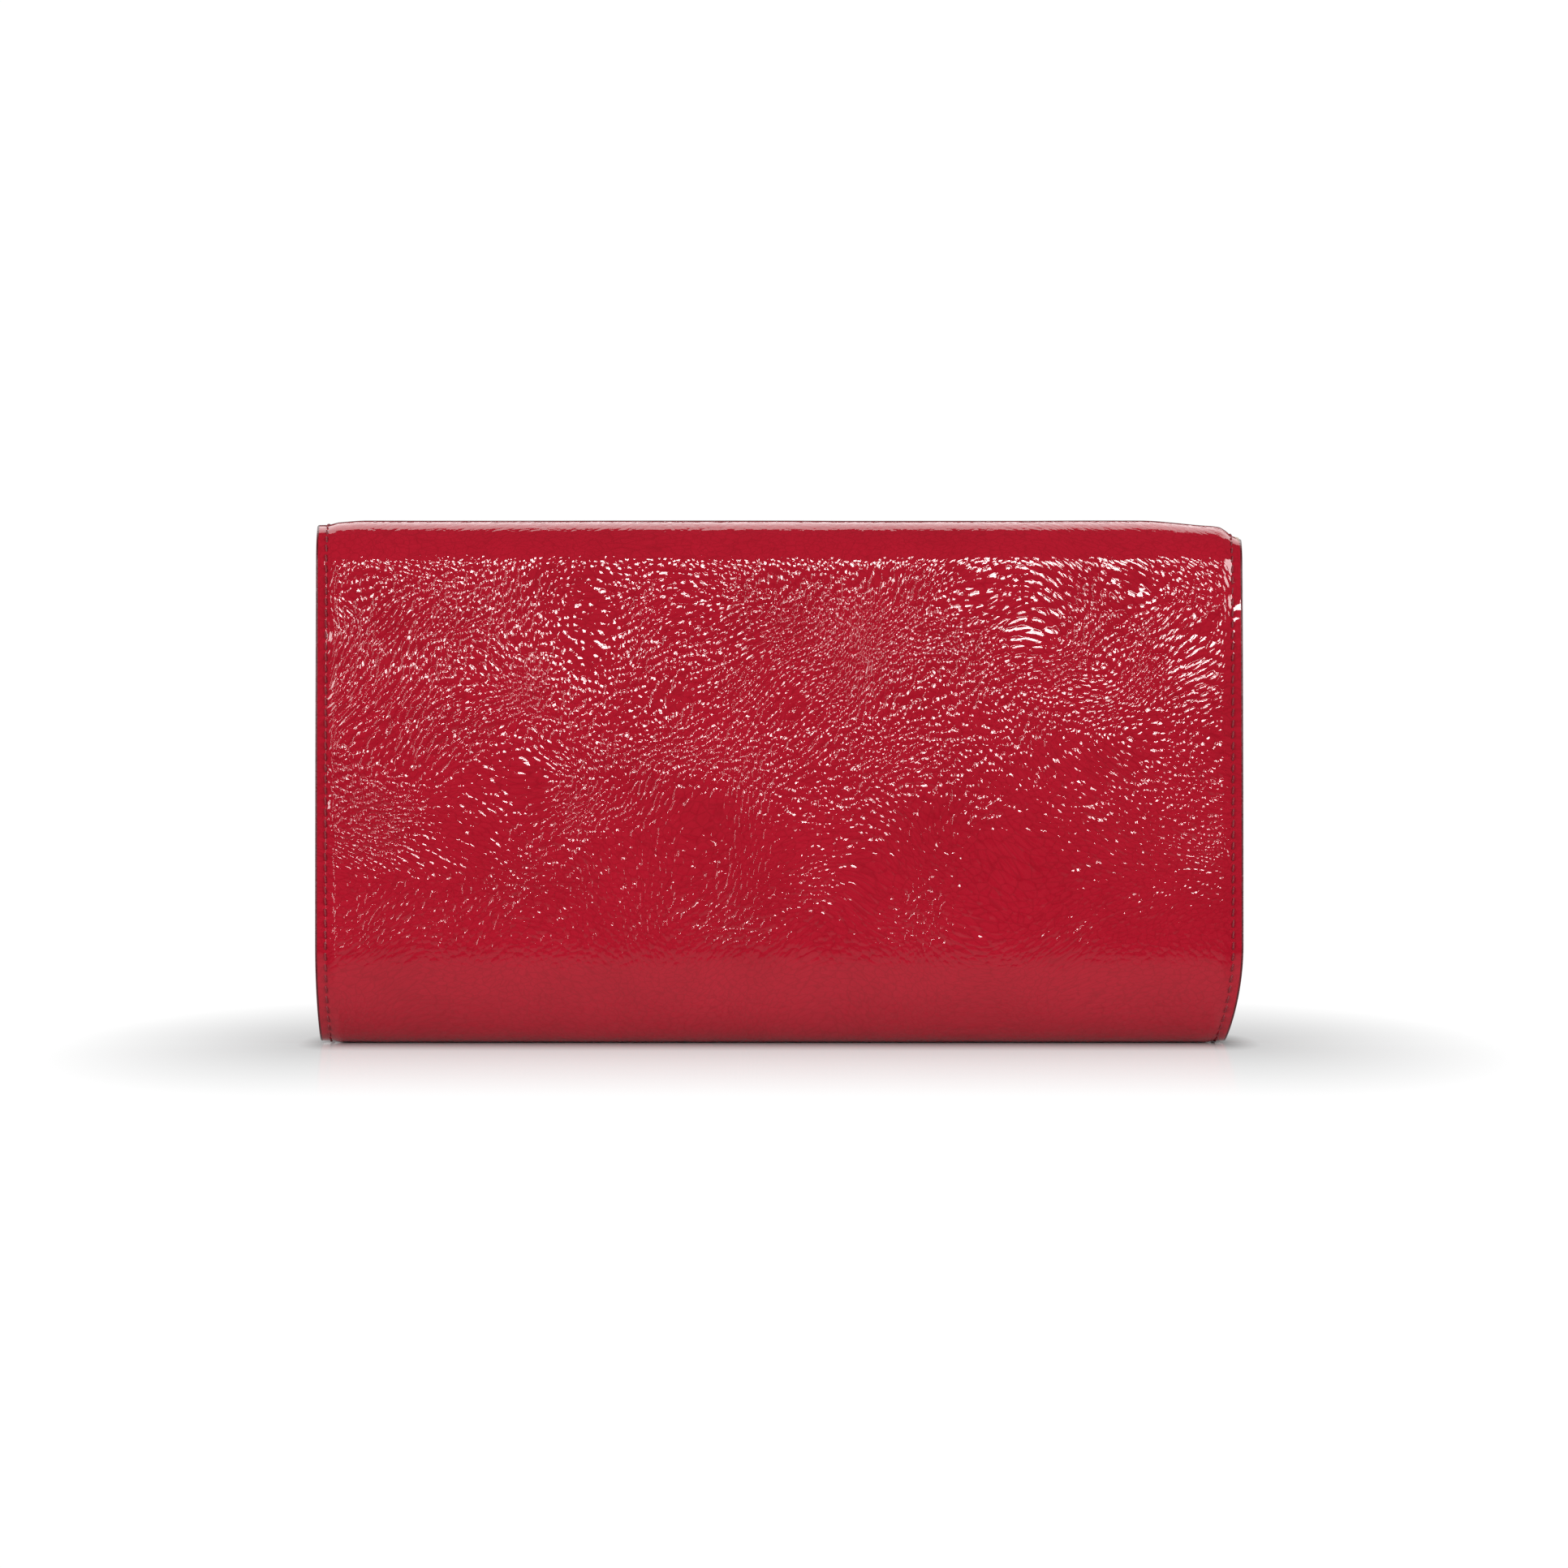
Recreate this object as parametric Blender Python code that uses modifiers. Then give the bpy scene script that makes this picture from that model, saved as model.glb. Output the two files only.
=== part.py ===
"""A flap clutch purse standing on its base.

Leather panels make the back, the base, the front wall, the top and the flap. Gussets with a V fold close
the sides. Boards and linings lie behind the leather. Inside are a slip pocket and a magnetic snap.

Metres, +Z up. The origin is at the middle of the base. The back faces -Y and the flap faces +Y.
A side line is a list of (y, z) points. Side lines run from the flap's lip over the top, down the back,
under the base and up the front wall, so the inside of the purse is always to the left of a side line.
"""

import math

import bmesh
import bpy
from mathutils import Matrix, Vector

MM = 0.001

# Overall size
HALF_WIDTH = 125 * MM
BASE_TUCK = 1 * MM  # how much nearer the middle each side edge is at the base
TOP_Z = 140 * MM

# Side view of the leather's outer face
BACK_Y = -25 * MM  # rearmost, just above the bottom roll
BASE_BACK_Y = -11 * MM
BASE_FRONT_Y = 7 * MM
ROLL_HEIGHT = 27 * MM  # height of the rounding between the base and a wall
FRONT_WALL_LOW_Y = 17.5 * MM
FRONT_WALL_TOP_Y = 13.8 * MM
FRONT_WALL_TOP_Z = 124 * MM
FOLD_RADIUS = 12 * MM
BACK_FOLD_Y = -8 * MM  # centre of the flap's back fold
FRONT_FOLD_Y = 6 * MM  # centre of the flap's front fold
FOLD_Z = TOP_Z - FOLD_RADIUS
LIP_Y = 25 * MM
LIP_Z = 30 * MM
LIP_CORNER_RADIUS = 16 * MM
BACK_BULGE = 1.2 * MM
FRONT_BULGE = 1.0 * MM
FLAP_BULGE = 2.2 * MM

# Layers, from the outside in
LEATHER = 1.2 * MM
BOARD = 0.8 * MM
LINING = 0.6 * MM
GAP = 0.3 * MM
BOARD_DEPTH = LEATHER + GAP + BOARD / 2
LINING_DEPTH = LEATHER + BOARD + 2 * GAP + LINING / 2
INSIDE_DEPTH = LINING_DEPTH + LINING / 2

# Gussets
GUSSET_LEATHER = 0.9 * MM
GUSSET_LINING = 0.5 * MM
FLANGE_DEPTH = LEATHER + GAP + GUSSET_LEATHER / 2
FLANGE_INSET = 0.8 * MM  # from the panel's side edge to the flange's edge
FLANGE_WIDTH = 6.5 * MM
WALL_X = HALF_WIDTH - BASE_TUCK - FLANGE_INSET - FLANGE_WIDTH
GUSSET_TOP_Z = 121 * MM
V_DEPTH = 13 * MM  # how far the V fold reaches in at the mouth
GUSSET_LINING_SHIFT = 1.5 * MM
CREASE_CLEAR = 0.7 * MM  # from the crease to the front leaf
INNER_HALF_WIDTH = 115 * MM  # of the boards and linings

# Joints
HALF_CUT_DEG = 2.8  # half of the gap at a fold, as an angle of its arc
BACK_FOLD_DEG = 135
FRONT_FOLD_DEG = 45
SPREAD_FOLD_DEG = -45  # on the front bottom roll
AXIS_PROUD = 0.3 * MM  # the hinge lines lie this far outside the leather

# Slip pocket on the back lining
POCKET_HALF_WIDTH = 72 * MM
POCKET_LOW_Z = 36 * MM
POCKET_TOP_Z = 98 * MM
POCKET_GAPE = 8 * MM
POCKET_CLOTH = 0.6 * MM
TRIM_HEIGHT = 9 * MM
TRIM_THICKNESS = 0.7 * MM

# Magnetic snap
SNAP_Z = 62 * MM
SNAP_RADIUS = 9 * MM
SOCKET_THICKNESS = 1.6 * MM
STUD_THICKNESS = 0.8 * MM
POST_LENGTH = 1.1 * MM
POST_RADIUS = 2.4 * MM
RECESS_RADIUS = 3.6 * MM
RECESS_DEPTH = 2.4 * MM
MAGNET_RADIUS = 7.4 * MM
MAGNET_DEPTH = 1.0 * MM
SHANK_RADIUS = 4.4 * MM
STUD_SHANK_RADIUS = 1.6 * MM
CAP_THICKNESS = 0.7 * MM
CAP_DEPTH = BOARD_DEPTH  # the caps lie in holes in the boards, between the leather and the lining
SOCKET_CAP_RADIUS = 7 * MM
STUD_CAP_RADIUS = 5 * MM


def clear_scene():
    for thing in list(bpy.data.objects):
        bpy.data.objects.remove(thing, do_unlink=True)


def new_collection(name):
    collection = bpy.data.collections.new(name)
    bpy.context.scene.collection.children.link(collection)
    return collection


def new_material(name, color, roughness, metallic=0.0):
    material = bpy.data.materials.new(name)
    material.use_nodes = True
    shader = material.node_tree.nodes["Principled BSDF"]
    shader.inputs["Base Color"].default_value = (*color, 1.0)
    shader.inputs["Roughness"].default_value = roughness
    shader.inputs["Metallic"].default_value = metallic
    return material


# ---- side lines -------------------------------------------------------------


def arc(center_y, center_z, radius_y, radius_z, start_deg, end_deg, steps):
    """Points on an ellipse, with both ends."""
    angles = [math.radians(start_deg + (end_deg - start_deg) * i / steps) for i in range(steps + 1)]
    return [(center_y + radius_y * math.cos(a), center_z + radius_z * math.sin(a)) for a in angles]


def wall(start, end, bulge, steps):
    """A straight line between two points, bowed out to its right by bulge, without its ends."""
    run = Vector(end) - Vector(start)
    outward = Vector((run.y, -run.x)).normalized()
    fractions = [i / steps for i in range(1, steps)]
    points = [Vector(start) + run * t + outward * bulge * math.sin(math.pi * t) for t in fractions]
    return [tuple(point) for point in points]


def fold(center_y, start_deg, end_deg, steps=5):
    return arc(center_y, FOLD_Z, FOLD_RADIUS, FOLD_RADIUS, start_deg, end_deg, steps)


def flap_front_line():
    start = (LIP_Y, LIP_Z)
    bend = fold(FRONT_FOLD_Y, 0, FRONT_FOLD_DEG - HALF_CUT_DEG)
    return [start] + wall(start, bend[0], FLAP_BULGE, 4) + bend


def flap_top_line():
    front = fold(FRONT_FOLD_Y, FRONT_FOLD_DEG + HALF_CUT_DEG, 90)
    back = fold(BACK_FOLD_Y, 90, BACK_FOLD_DEG - HALF_CUT_DEG)
    return front + back


def back_wall_line(steps=6):
    """The back wall between its top fold and the bottom roll, without either end."""
    return wall((BACK_FOLD_Y - FOLD_RADIUS, FOLD_Z), (BACK_Y, ROLL_HEIGHT), BACK_BULGE, steps)


def back_roll(steps=8):
    return arc(BASE_BACK_Y, ROLL_HEIGHT, BASE_BACK_Y - BACK_Y, ROLL_HEIGHT, 180, 270, steps)


def upright_back_line():
    return [(BACK_FOLD_Y - FOLD_RADIUS, FOLD_Z)] + back_wall_line() + back_roll()


def base_line(steps=4):
    """The flat of the base, without its ends."""
    return wall((BASE_BACK_Y, 0), (BASE_FRONT_Y, 0), 0, steps)


def front_roll(start_deg, end_deg, steps=8):
    radius_y = FRONT_WALL_LOW_Y - BASE_FRONT_Y
    return arc(BASE_FRONT_Y, ROLL_HEIGHT, radius_y, ROLL_HEIGHT, start_deg, end_deg, steps)


def back_and_base_line():
    bend = fold(BACK_FOLD_Y, BACK_FOLD_DEG + HALF_CUT_DEG, 180)
    roll = front_roll(-90, SPREAD_FOLD_DEG - HALF_CUT_DEG, 4)
    return bend + back_wall_line() + back_roll() + base_line() + roll


def front_wall_line():
    roll = front_roll(SPREAD_FOLD_DEG + HALF_CUT_DEG, 0, 4)
    top = (FRONT_WALL_TOP_Y, FRONT_WALL_TOP_Z)
    return roll + wall(roll[-1], top, FRONT_BULGE, 5) + [top]


def moved_in(line, depth):
    """The line moved towards the inside of the purse by depth, corner by corner."""
    points = [Vector(point) for point in line]
    moved = []
    for i, point in enumerate(points):
        before = (point - points[i - 1]).normalized() if i else None
        after = (points[i + 1] - point).normalized() if i + 1 < len(points) else None
        along = ((before or after) + (after or before)).normalized()
        inward = Vector((-along.y, along.x))
        straight = Vector((-(before or after).y, (before or after).x))
        moved.append(tuple(point + inward * depth / inward.dot(straight)))
    return moved


def y_at(line, z):
    """Where a line, or a stretch of it, crosses height z."""
    for (y0, z0), (y1, z1) in zip(line, line[1:]):
        if z0 != z1 and min(z0, z1) <= z <= max(z0, z1):
            return y0 + (y1 - y0) * (z - z0) / (z1 - z0)
    raise ValueError(f"the line doesn't reach {z}")


def between(line, low_z, high_z):
    """The stretch of a rising or falling line between two heights, with new ends on the line."""
    kept = [point for point in line if low_z < point[1] < high_z]
    ends = [(y_at(line, z), z) for z in (low_z, high_z)]
    if line[0][1] > line[-1][1]:
        ends.reverse()
    return [ends[0]] + kept + [ends[1]]


def fold_axis(center_y, angle_deg):
    reach = FOLD_RADIUS + AXIS_PROUD
    return arc(center_y, FOLD_Z, reach, reach, angle_deg, angle_deg, 1)[0]


# ---- making objects ---------------------------------------------------------


def add_object(name, bm, collection, material, parent):
    mesh = bpy.data.meshes.new(name)
    bm.normal_update()
    bm.to_mesh(mesh)
    bm.free()
    mesh.materials.append(material)
    made = bpy.data.objects.new(name, mesh)
    collection.objects.link(made)
    if parent is not None:
        made.parent = parent
        made.matrix_parent_inverse = parent.matrix_world.inverted()
    return made


def add_thickness(made, thickness):
    solidify = made.modifiers.new("thickness", "SOLIDIFY")
    solidify.thickness = thickness
    solidify.offset = 0
    solidify.use_even_offset = True


def edge_x(z):
    """Half the width of the leather panel at height z: the side edges are tucked in at the base."""
    rise = min(z / ROLL_HEIGHT, 1)
    return HALF_WIDTH - BASE_TUCK * (1 - rise) ** 2


def sheet_strip(line, half_width_at):
    """An open surface: the side line drawn out from one side edge to the other."""
    bm = bmesh.new()
    left = [bm.verts.new((-half_width_at(z), y, z)) for y, z in line]
    edges = [bm.edges.new(pair) for pair in zip(left, left[1:])]
    swept = bmesh.ops.extrude_edge_only(bm, edges=edges)
    for item in swept["geom"]:
        if isinstance(item, bmesh.types.BMVert):
            item.co.x = -item.co.x
    return bm


def round_lip_corners(bm, lip_z, radius):
    corners = [vert for vert in bm.verts if abs(vert.co.z - lip_z) < GAP]
    bmesh.ops.bevel(bm, geom=corners, offset=radius, segments=6, profile=0.5, affect="VERTICES")


def panel(name, line, depth, thickness, half_width_at, look, parent, lip=None):
    """A sheet of leather, board or cloth that follows a side line, depth inside it."""
    bm = sheet_strip(moved_in(line, depth), half_width_at)
    if lip:
        round_lip_corners(bm, *lip)
    made = add_object(name, bm, PARTS, look, parent)
    add_thickness(made, thickness)
    return made


def inner_width(_z):
    return INNER_HALF_WIDTH


def grid_faces(bm, rows):
    for low, high in zip(rows, rows[1:]):
        for i in range(len(low) - 1):
            corners = (low[i], low[i + 1], high[i + 1], high[i])
            if len(set(corners)) == 4:
                bm.faces.new(corners)


# ---- gussets ----------------------------------------------------------------


def ring_lines(depth):
    """The body's side line at the gussets, moved in by depth, as its back, base and front stretches.

    Back and front run down from the mouth and pair up by height. The base joins their low ends.
    """
    heights = [GUSSET_TOP_Z - (GUSSET_TOP_Z - ROLL_HEIGHT) * i / 5 for i in range(6)]
    back_upper = [(y_at(upright_back_line(), z), z) for z in heights]
    front_upper = [(y_at(front_wall_line(), z), z) for z in heights]
    back = back_upper + back_roll()[1:]
    front = front_roll(-90, 0)[:-1] + list(reversed(front_upper))
    whole = moved_in(back + base_line() + front, depth)
    side = len(back)
    return whole[:side], whole[side - 1 : -side + 1], list(reversed(whole[-side:]))


def v_reach(y, z):
    """How far the V fold brings the gusset wall in from the sewn edge, at a point of the side view."""
    back, _base, front = ring_lines(FLANGE_DEPTH)
    height = min(max(z, back[-1][1]), back[0][1], front[0][1])
    low_y = y_at(back, height)
    high_y = y_at(front, height)
    across = (y - low_y) / (high_y - low_y)
    return V_DEPTH * height / GUSSET_TOP_Z * max(0, 1 - abs(2 * across - 1))


def gusset_rows(side, x, depth):
    """Rows of points across the gusset wall, from the mouth down to the base, depth inside the panels."""
    back, base, front = ring_lines(depth)
    rows = []
    for (back_y, back_z), (front_y, front_z) in zip(back[:-1], front[:-1]):
        row = []
        for i in range(5):
            y = back_y + (front_y - back_y) * i / 4
            z = back_z + (front_z - back_z) * i / 4
            row.append(Vector((side * (x - v_reach(y, z)), y, z)))
        rows.append(row)
    rows.append([Vector((side * x, y, z)) for y, z in base])
    return rows


def flange_points(side, line, out):
    return [Vector((side * (WALL_X + out), y, z)) for y, z in line]


def shared_verts(bm, points):
    """Vertices at the points, taking the one that is already there."""
    known = {tuple(round(c, 7) for c in vert.co): vert for vert in bm.verts}
    found = []
    for point in points:
        key = tuple(round(c, 7) for c in point)
        if key not in known:
            known[key] = bm.verts.new(point)
        found.append(known[key])
    return found


def spread_row(back):
    """The first row, counted down from the mouth, that lies below the front wall's hinge line."""
    hinge_z = front_roll(SPREAD_FOLD_DEG, SPREAD_FOLD_DEG, 1)[0][1]
    return next(i for i, point in enumerate(back) if point[1] < hinge_z + 2 * MM)


def rear_grids(rows, split):
    """The rear leaf down to the split row, and below it the foot across the whole width."""
    return [[row[:3] for row in rows[: split + 1]], rows[split:]]


def front_grid(rows, split):
    """The front leaf, drawn back a little from the crease and from the foot."""
    leaf = [row[2:] for row in rows[: split + 1]]
    for i, above in enumerate(leaf[-2]):
        leaf[-1][i] = leaf[-1][i] + (above - leaf[-1][i]).normalized() * CREASE_CLEAR
    for row in leaf:
        row[0] = row[0] + (row[1] - row[0]).normalized() * CREASE_CLEAR
    return leaf


def gusset_sheet(name, grids, thickness, look, parent):
    """One body from grids of points that share their common corners."""
    bm = bmesh.new()
    for grid in grids:
        grid_faces(bm, [shared_verts(bm, row) for row in grid])
    bmesh.ops.recalc_face_normals(bm, faces=bm.faces)
    made = add_object(name, bm, PARTS, look, parent)
    add_thickness(made, thickness)


def gusset(side, side_name, body, front_wall):
    """One side: leather with a sewn flange, and its lining, each as a rear and a front leaf."""
    back, base, front = ring_lines(FLANGE_DEPTH)
    split = spread_row(back)
    rows = gusset_rows(side, WALL_X, FLANGE_DEPTH)
    ring = back + base[1:-1] + list(reversed(front[split:]))
    flange = [flange_points(side, ring, out) for out in (0, FLANGE_WIDTH)]
    rear = rear_grids(rows, split) + [flange]
    gusset_sheet(f"gusset_{side_name}_rear", rear, GUSSET_LEATHER, red_patent, body)
    leaf = front_grid(rows, split)
    fold_line = [row[-1] for row in leaf]
    sewn = [point + Vector((side * FLANGE_WIDTH, 0, 0)) for point in fold_line]
    name = f"gusset_{side_name}_front"
    gusset_sheet(name, [leaf, [fold_line, sewn]], GUSSET_LEATHER, red_patent, front_wall)

    lining_depth = INSIDE_DEPTH + GAP + GUSSET_LINING / 2
    rows = gusset_rows(side, WALL_X - GUSSET_LINING_SHIFT, lining_depth)
    name = f"gusset_lining_{side_name}"
    gusset_sheet(f"{name}_rear", rear_grids(rows, split), GUSSET_LINING, gusset_cloth, body)
    gusset_sheet(f"{name}_front", [front_grid(rows, split)], GUSSET_LINING, gusset_cloth, front_wall)


# ---- slip pocket ------------------------------------------------------------


def pocket_surface(low_z, high_z, depth, rows, columns):
    """An open sheet on the back lining that stands away from it towards the middle of its top edge."""
    line = upright_back_line()
    bm = bmesh.new()
    grid = []
    for i in range(rows + 1):
        z = low_z + (high_z - low_z) * i / rows
        rise = (z - POCKET_LOW_Z) / (POCKET_TOP_Z - POCKET_LOW_Z)
        row = []
        for j in range(columns + 1):
            across = j / columns
            stand = POCKET_GAPE * math.sin(math.pi * across) * math.sin(math.pi / 2 * rise)
            x = POCKET_HALF_WIDTH * (2 * across - 1)
            row.append(bm.verts.new((x, y_at(line, z) + depth + stand, z)))
        grid.append(row)
    grid_faces(bm, grid)
    return bm


def slip_pocket(look, parent):
    depth = INSIDE_DEPTH + GAP + POCKET_CLOTH / 2
    bm = pocket_surface(POCKET_LOW_Z, POCKET_TOP_Z, depth, 5, 14)
    made = add_object("slip_pocket", bm, PARTS, look, parent)
    add_thickness(made, POCKET_CLOTH)


def pocket_trim(look, parent):
    depth = INSIDE_DEPTH + GAP + POCKET_CLOTH + GAP * 1.4 + TRIM_THICKNESS / 2
    bm = pocket_surface(POCKET_TOP_Z - TRIM_HEIGHT, POCKET_TOP_Z, depth, 1, 14)
    made = add_object("pocket_trim", bm, PARTS, look, parent)
    add_thickness(made, TRIM_THICKNESS)


# ---- magnetic snap ----------------------------------------------------------


def turned(name, profile, base_y, toward, look, parent, steps=32):
    """A profile of (radius, height) turned round an axis along Y, with its heights towards +Y or -Y."""
    bm = bmesh.new()
    verts = [bm.verts.new((radius, 0, height)) for radius, height in profile]
    for pair in zip(verts, verts[1:]):
        bm.edges.new(pair)
    if profile[0][0] > 0:
        bm.edges.new((verts[-1], verts[0]))
    made = add_object(name, bm, PARTS, look, None)
    screw = made.modifiers.new("turn", "SCREW")
    screw.steps = steps
    screw.render_steps = steps
    screw.use_merge_vertices = True
    screw.merge_threshold = 0.00001
    screw.use_smooth_shade = True
    made.matrix_world = Matrix.Translation((0, base_y, SNAP_Z)) @ Matrix.Rotation(
        -toward * math.pi / 2, 4, "X"
    )
    made.parent = parent
    made.matrix_parent_inverse = parent.matrix_world.inverted()
    return made


def snap_socket(face_y, shank, look, parent):
    """The cup on the front wall: a rim and a recess in front, and a rivet shank behind."""
    front = SOCKET_THICKNESS
    floor = front - MAGNET_DEPTH
    profile = [
        (0, front - RECESS_DEPTH),
        (RECESS_RADIUS, front - RECESS_DEPTH),
        (RECESS_RADIUS, floor),
        (MAGNET_RADIUS + GAP, floor),
        (MAGNET_RADIUS + GAP, front),
        (SNAP_RADIUS, front),
        (SNAP_RADIUS, 0),
        (SHANK_RADIUS, 0),
        (SHANK_RADIUS, -shank),
        (0, -shank),
    ]
    return turned("snap_socket", profile, face_y, 1, look, parent)


def snap_magnet(face_y, look, parent):
    """The ring magnet in the cup, round the hole that takes the stud's post."""
    top = SOCKET_THICKNESS - 0.1 * MM
    low = SOCKET_THICKNESS - MAGNET_DEPTH + GAP
    profile = [
        (RECESS_RADIUS, low),
        (RECESS_RADIUS, top),
        (MAGNET_RADIUS, top),
        (MAGNET_RADIUS, low),
    ]
    return turned("snap_magnet", profile, face_y, 1, look, parent)


def snap_stud(face_y, shank, look, parent):
    """The plate on the inside of the flap: a tapered post towards the socket and a rivet shank behind."""
    profile = [
        (0, -shank),
        (STUD_SHANK_RADIUS, -shank),
        (STUD_SHANK_RADIUS, 0),
        (SNAP_RADIUS, 0),
        (SNAP_RADIUS, STUD_THICKNESS),
        (POST_RADIUS, STUD_THICKNESS),
        (POST_RADIUS * 0.8, STUD_THICKNESS + POST_LENGTH),
        (0, STUD_THICKNESS + POST_LENGTH),
    ]
    profile.reverse()
    return turned("snap_stud", profile, face_y, -1, look, parent)


def rivet_cap(name, shank_radius, radius, base_y, look, parent):
    """The washer that a rivet shank is clenched over."""
    profile = [
        (shank_radius + GAP, 0),
        (shank_radius + GAP, CAP_THICKNESS),
        (radius, CAP_THICKNESS),
        (radius, 0),
    ]
    return turned(name, profile, base_y, 1, look, parent)


def cut_round_hole(target, radius, y):
    """A hole along Y through a panel at the snap."""
    bpy.ops.mesh.primitive_cylinder_add(
        vertices=32,
        radius=radius,
        depth=8 * MM,
        location=(0, y, SNAP_Z),
        rotation=(math.pi / 2, 0, 0),
    )
    cutter = bpy.context.object
    cutter.name = f"hole_in_{target.name}"
    cutter.hide_render = True
    cutter.display_type = "WIRE"
    for collection in list(cutter.users_collection):
        collection.objects.unlink(cutter)
    CUTTERS.objects.link(cutter)
    cut = target.modifiers.new("snap_hole", "BOOLEAN")
    cut.operation = "DIFFERENCE"
    cut.solver = "EXACT"
    cut.object = cutter


def hinge_empty(name, axis_y, axis_z, parent=None):
    empty = bpy.data.objects.new(name, None)
    empty.empty_display_size = 20 * MM
    empty.location = (0, axis_y, axis_z)
    PARTS.objects.link(empty)
    if parent is not None:
        bpy.context.view_layer.update()
        empty.parent = parent
        empty.matrix_parent_inverse = parent.matrix_world.inverted()
    bpy.context.view_layer.update()
    return empty


# ---- the purse --------------------------------------------------------------

clear_scene()
PARTS = new_collection("clutch_purse")
CUTTERS = new_collection("cutters")
CUTTERS.hide_render = True

red_patent = new_material("red_patent_leather", (0.434, 0.011, 0.028), 0.12)
gusset_cloth = new_material("gusset_lining_cloth", (0.33, 0.22, 0.15), 0.9)
cloth = new_material("lining_cloth", (0.36, 0.25, 0.17), 0.9)
board = new_material("stiffener_board", (0.35, 0.30, 0.24), 0.9)
gold = new_material("snap_metal", (0.80, 0.58, 0.28), 0.25, 1.0)
magnet = new_material("magnet", (0.20, 0.20, 0.21), 0.4, 1.0)

back_axis = fold_axis(BACK_FOLD_Y, BACK_FOLD_DEG)
front_axis = fold_axis(FRONT_FOLD_Y, FRONT_FOLD_DEG)
spread_axis = moved_in(front_roll(SPREAD_FOLD_DEG - 1, SPREAD_FOLD_DEG + 1, 2), -AXIS_PROUD)[1]

purse = hinge_empty("purse", 0, 0)
front_hinge = hinge_empty("front_wall_hinge", *spread_axis, purse)
flap_back_hinge = hinge_empty("flap_back_fold_hinge", *back_axis, purse)
flap_front_hinge = hinge_empty("flap_front_fold_hinge", *front_axis, flap_back_hinge)

# Back and base
panel("back_base_leather", back_and_base_line(), LEATHER / 2, LEATHER, edge_x, red_patent, purse)
back_board_line = between(upright_back_line(), ROLL_HEIGHT + 2 * MM, FOLD_Z - 6 * MM)
panel("back_board", back_board_line, BOARD_DEPTH, BOARD, inner_width, board, purse)
base_board_line = [(BASE_BACK_Y, 0)] + base_line() + [(BASE_FRONT_Y, 0)]
panel("base_board", base_board_line, BOARD_DEPTH, BOARD, inner_width, board, purse)
panel("back_base_lining", back_and_base_line(), LINING_DEPTH, LINING, inner_width, cloth, purse)
slip_pocket(cloth, purse)
pocket_trim(red_patent, purse)

# Front wall
front_leather = panel(
    "front_wall_leather", front_wall_line(), LEATHER / 2, LEATHER, edge_x, red_patent, front_hinge
)
front_board_line = between(front_wall_line(), ROLL_HEIGHT - 10 * MM, FRONT_WALL_TOP_Z - 3 * MM)
front_board = panel(
    "front_wall_board", front_board_line, BOARD_DEPTH, BOARD, inner_width, board, front_hinge
)
front_lining_line = between(front_wall_line(), front_wall_line()[0][1], FRONT_WALL_TOP_Z - 1 * MM)
panel("front_wall_lining", front_lining_line, LINING_DEPTH, LINING, inner_width, cloth, front_hinge)

# Gussets
for side, side_name in ((-1, "left"), (1, "right")):
    gusset(side, side_name, purse, front_hinge)

# Flap
panel("flap_top_leather", flap_top_line(), LEATHER / 2, LEATHER, edge_x, red_patent, flap_back_hinge)
panel("flap_top_lining", flap_top_line(), LINING_DEPTH, LINING, edge_x, cloth, flap_back_hinge)
panel(
    "flap_front_leather",
    flap_front_line(),
    LEATHER / 2,
    LEATHER,
    edge_x,
    red_patent,
    flap_front_hinge,
    (LIP_Z, LIP_CORNER_RADIUS),
)

flap_board = panel(
    "flap_front_board",
    between(flap_front_line(), LIP_Z + 4 * MM, FOLD_Z - 3 * MM),
    BOARD_DEPTH,
    BOARD,
    inner_width,
    board,
    flap_front_hinge,
    (LIP_Z + 4 * MM, LIP_CORNER_RADIUS),
)
flap_lining = panel(
    "flap_front_lining",
    flap_front_line(),
    LINING_DEPTH,
    LINING,
    edge_x,
    cloth,
    flap_front_hinge,
    (LIP_Z, LIP_CORNER_RADIUS),
)

# Snap: the socket on the front wall, the stud on the inside of the flap
snap_heights = [SNAP_Z - SNAP_RADIUS, SNAP_Z, SNAP_Z + SNAP_RADIUS]
flap_inside_line = moved_in(flap_front_line(), INSIDE_DEPTH)
wall_face_y = max(y_at(front_wall_line(), z) for z in snap_heights) + GAP
flap_face_y = min(y_at(flap_inside_line, z) for z in snap_heights) - GAP
socket_cap_y = y_at(front_wall_line(), SNAP_Z) - CAP_DEPTH - CAP_THICKNESS / 2
stud_cap_y = y_at(flap_front_line(), SNAP_Z) - CAP_DEPTH - CAP_THICKNESS / 2
snap_socket(wall_face_y, wall_face_y - socket_cap_y, gold, front_hinge)
snap_magnet(wall_face_y, magnet, front_hinge)
rivet_cap("snap_socket_cap", SHANK_RADIUS, SOCKET_CAP_RADIUS, socket_cap_y, gold, front_hinge)
snap_stud(flap_face_y, stud_cap_y + CAP_THICKNESS - flap_face_y, gold, flap_front_hinge)
rivet_cap("snap_stud_cap", STUD_SHANK_RADIUS, STUD_CAP_RADIUS, stud_cap_y, gold, flap_front_hinge)
cut_round_hole(front_leather, SHANK_RADIUS + GAP, wall_face_y)
cut_round_hole(front_board, SOCKET_CAP_RADIUS + GAP, wall_face_y)
cut_round_hole(flap_lining, STUD_SHANK_RADIUS + GAP, flap_face_y)
cut_round_hole(flap_board, STUD_CAP_RADIUS + GAP, flap_face_y)
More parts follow.
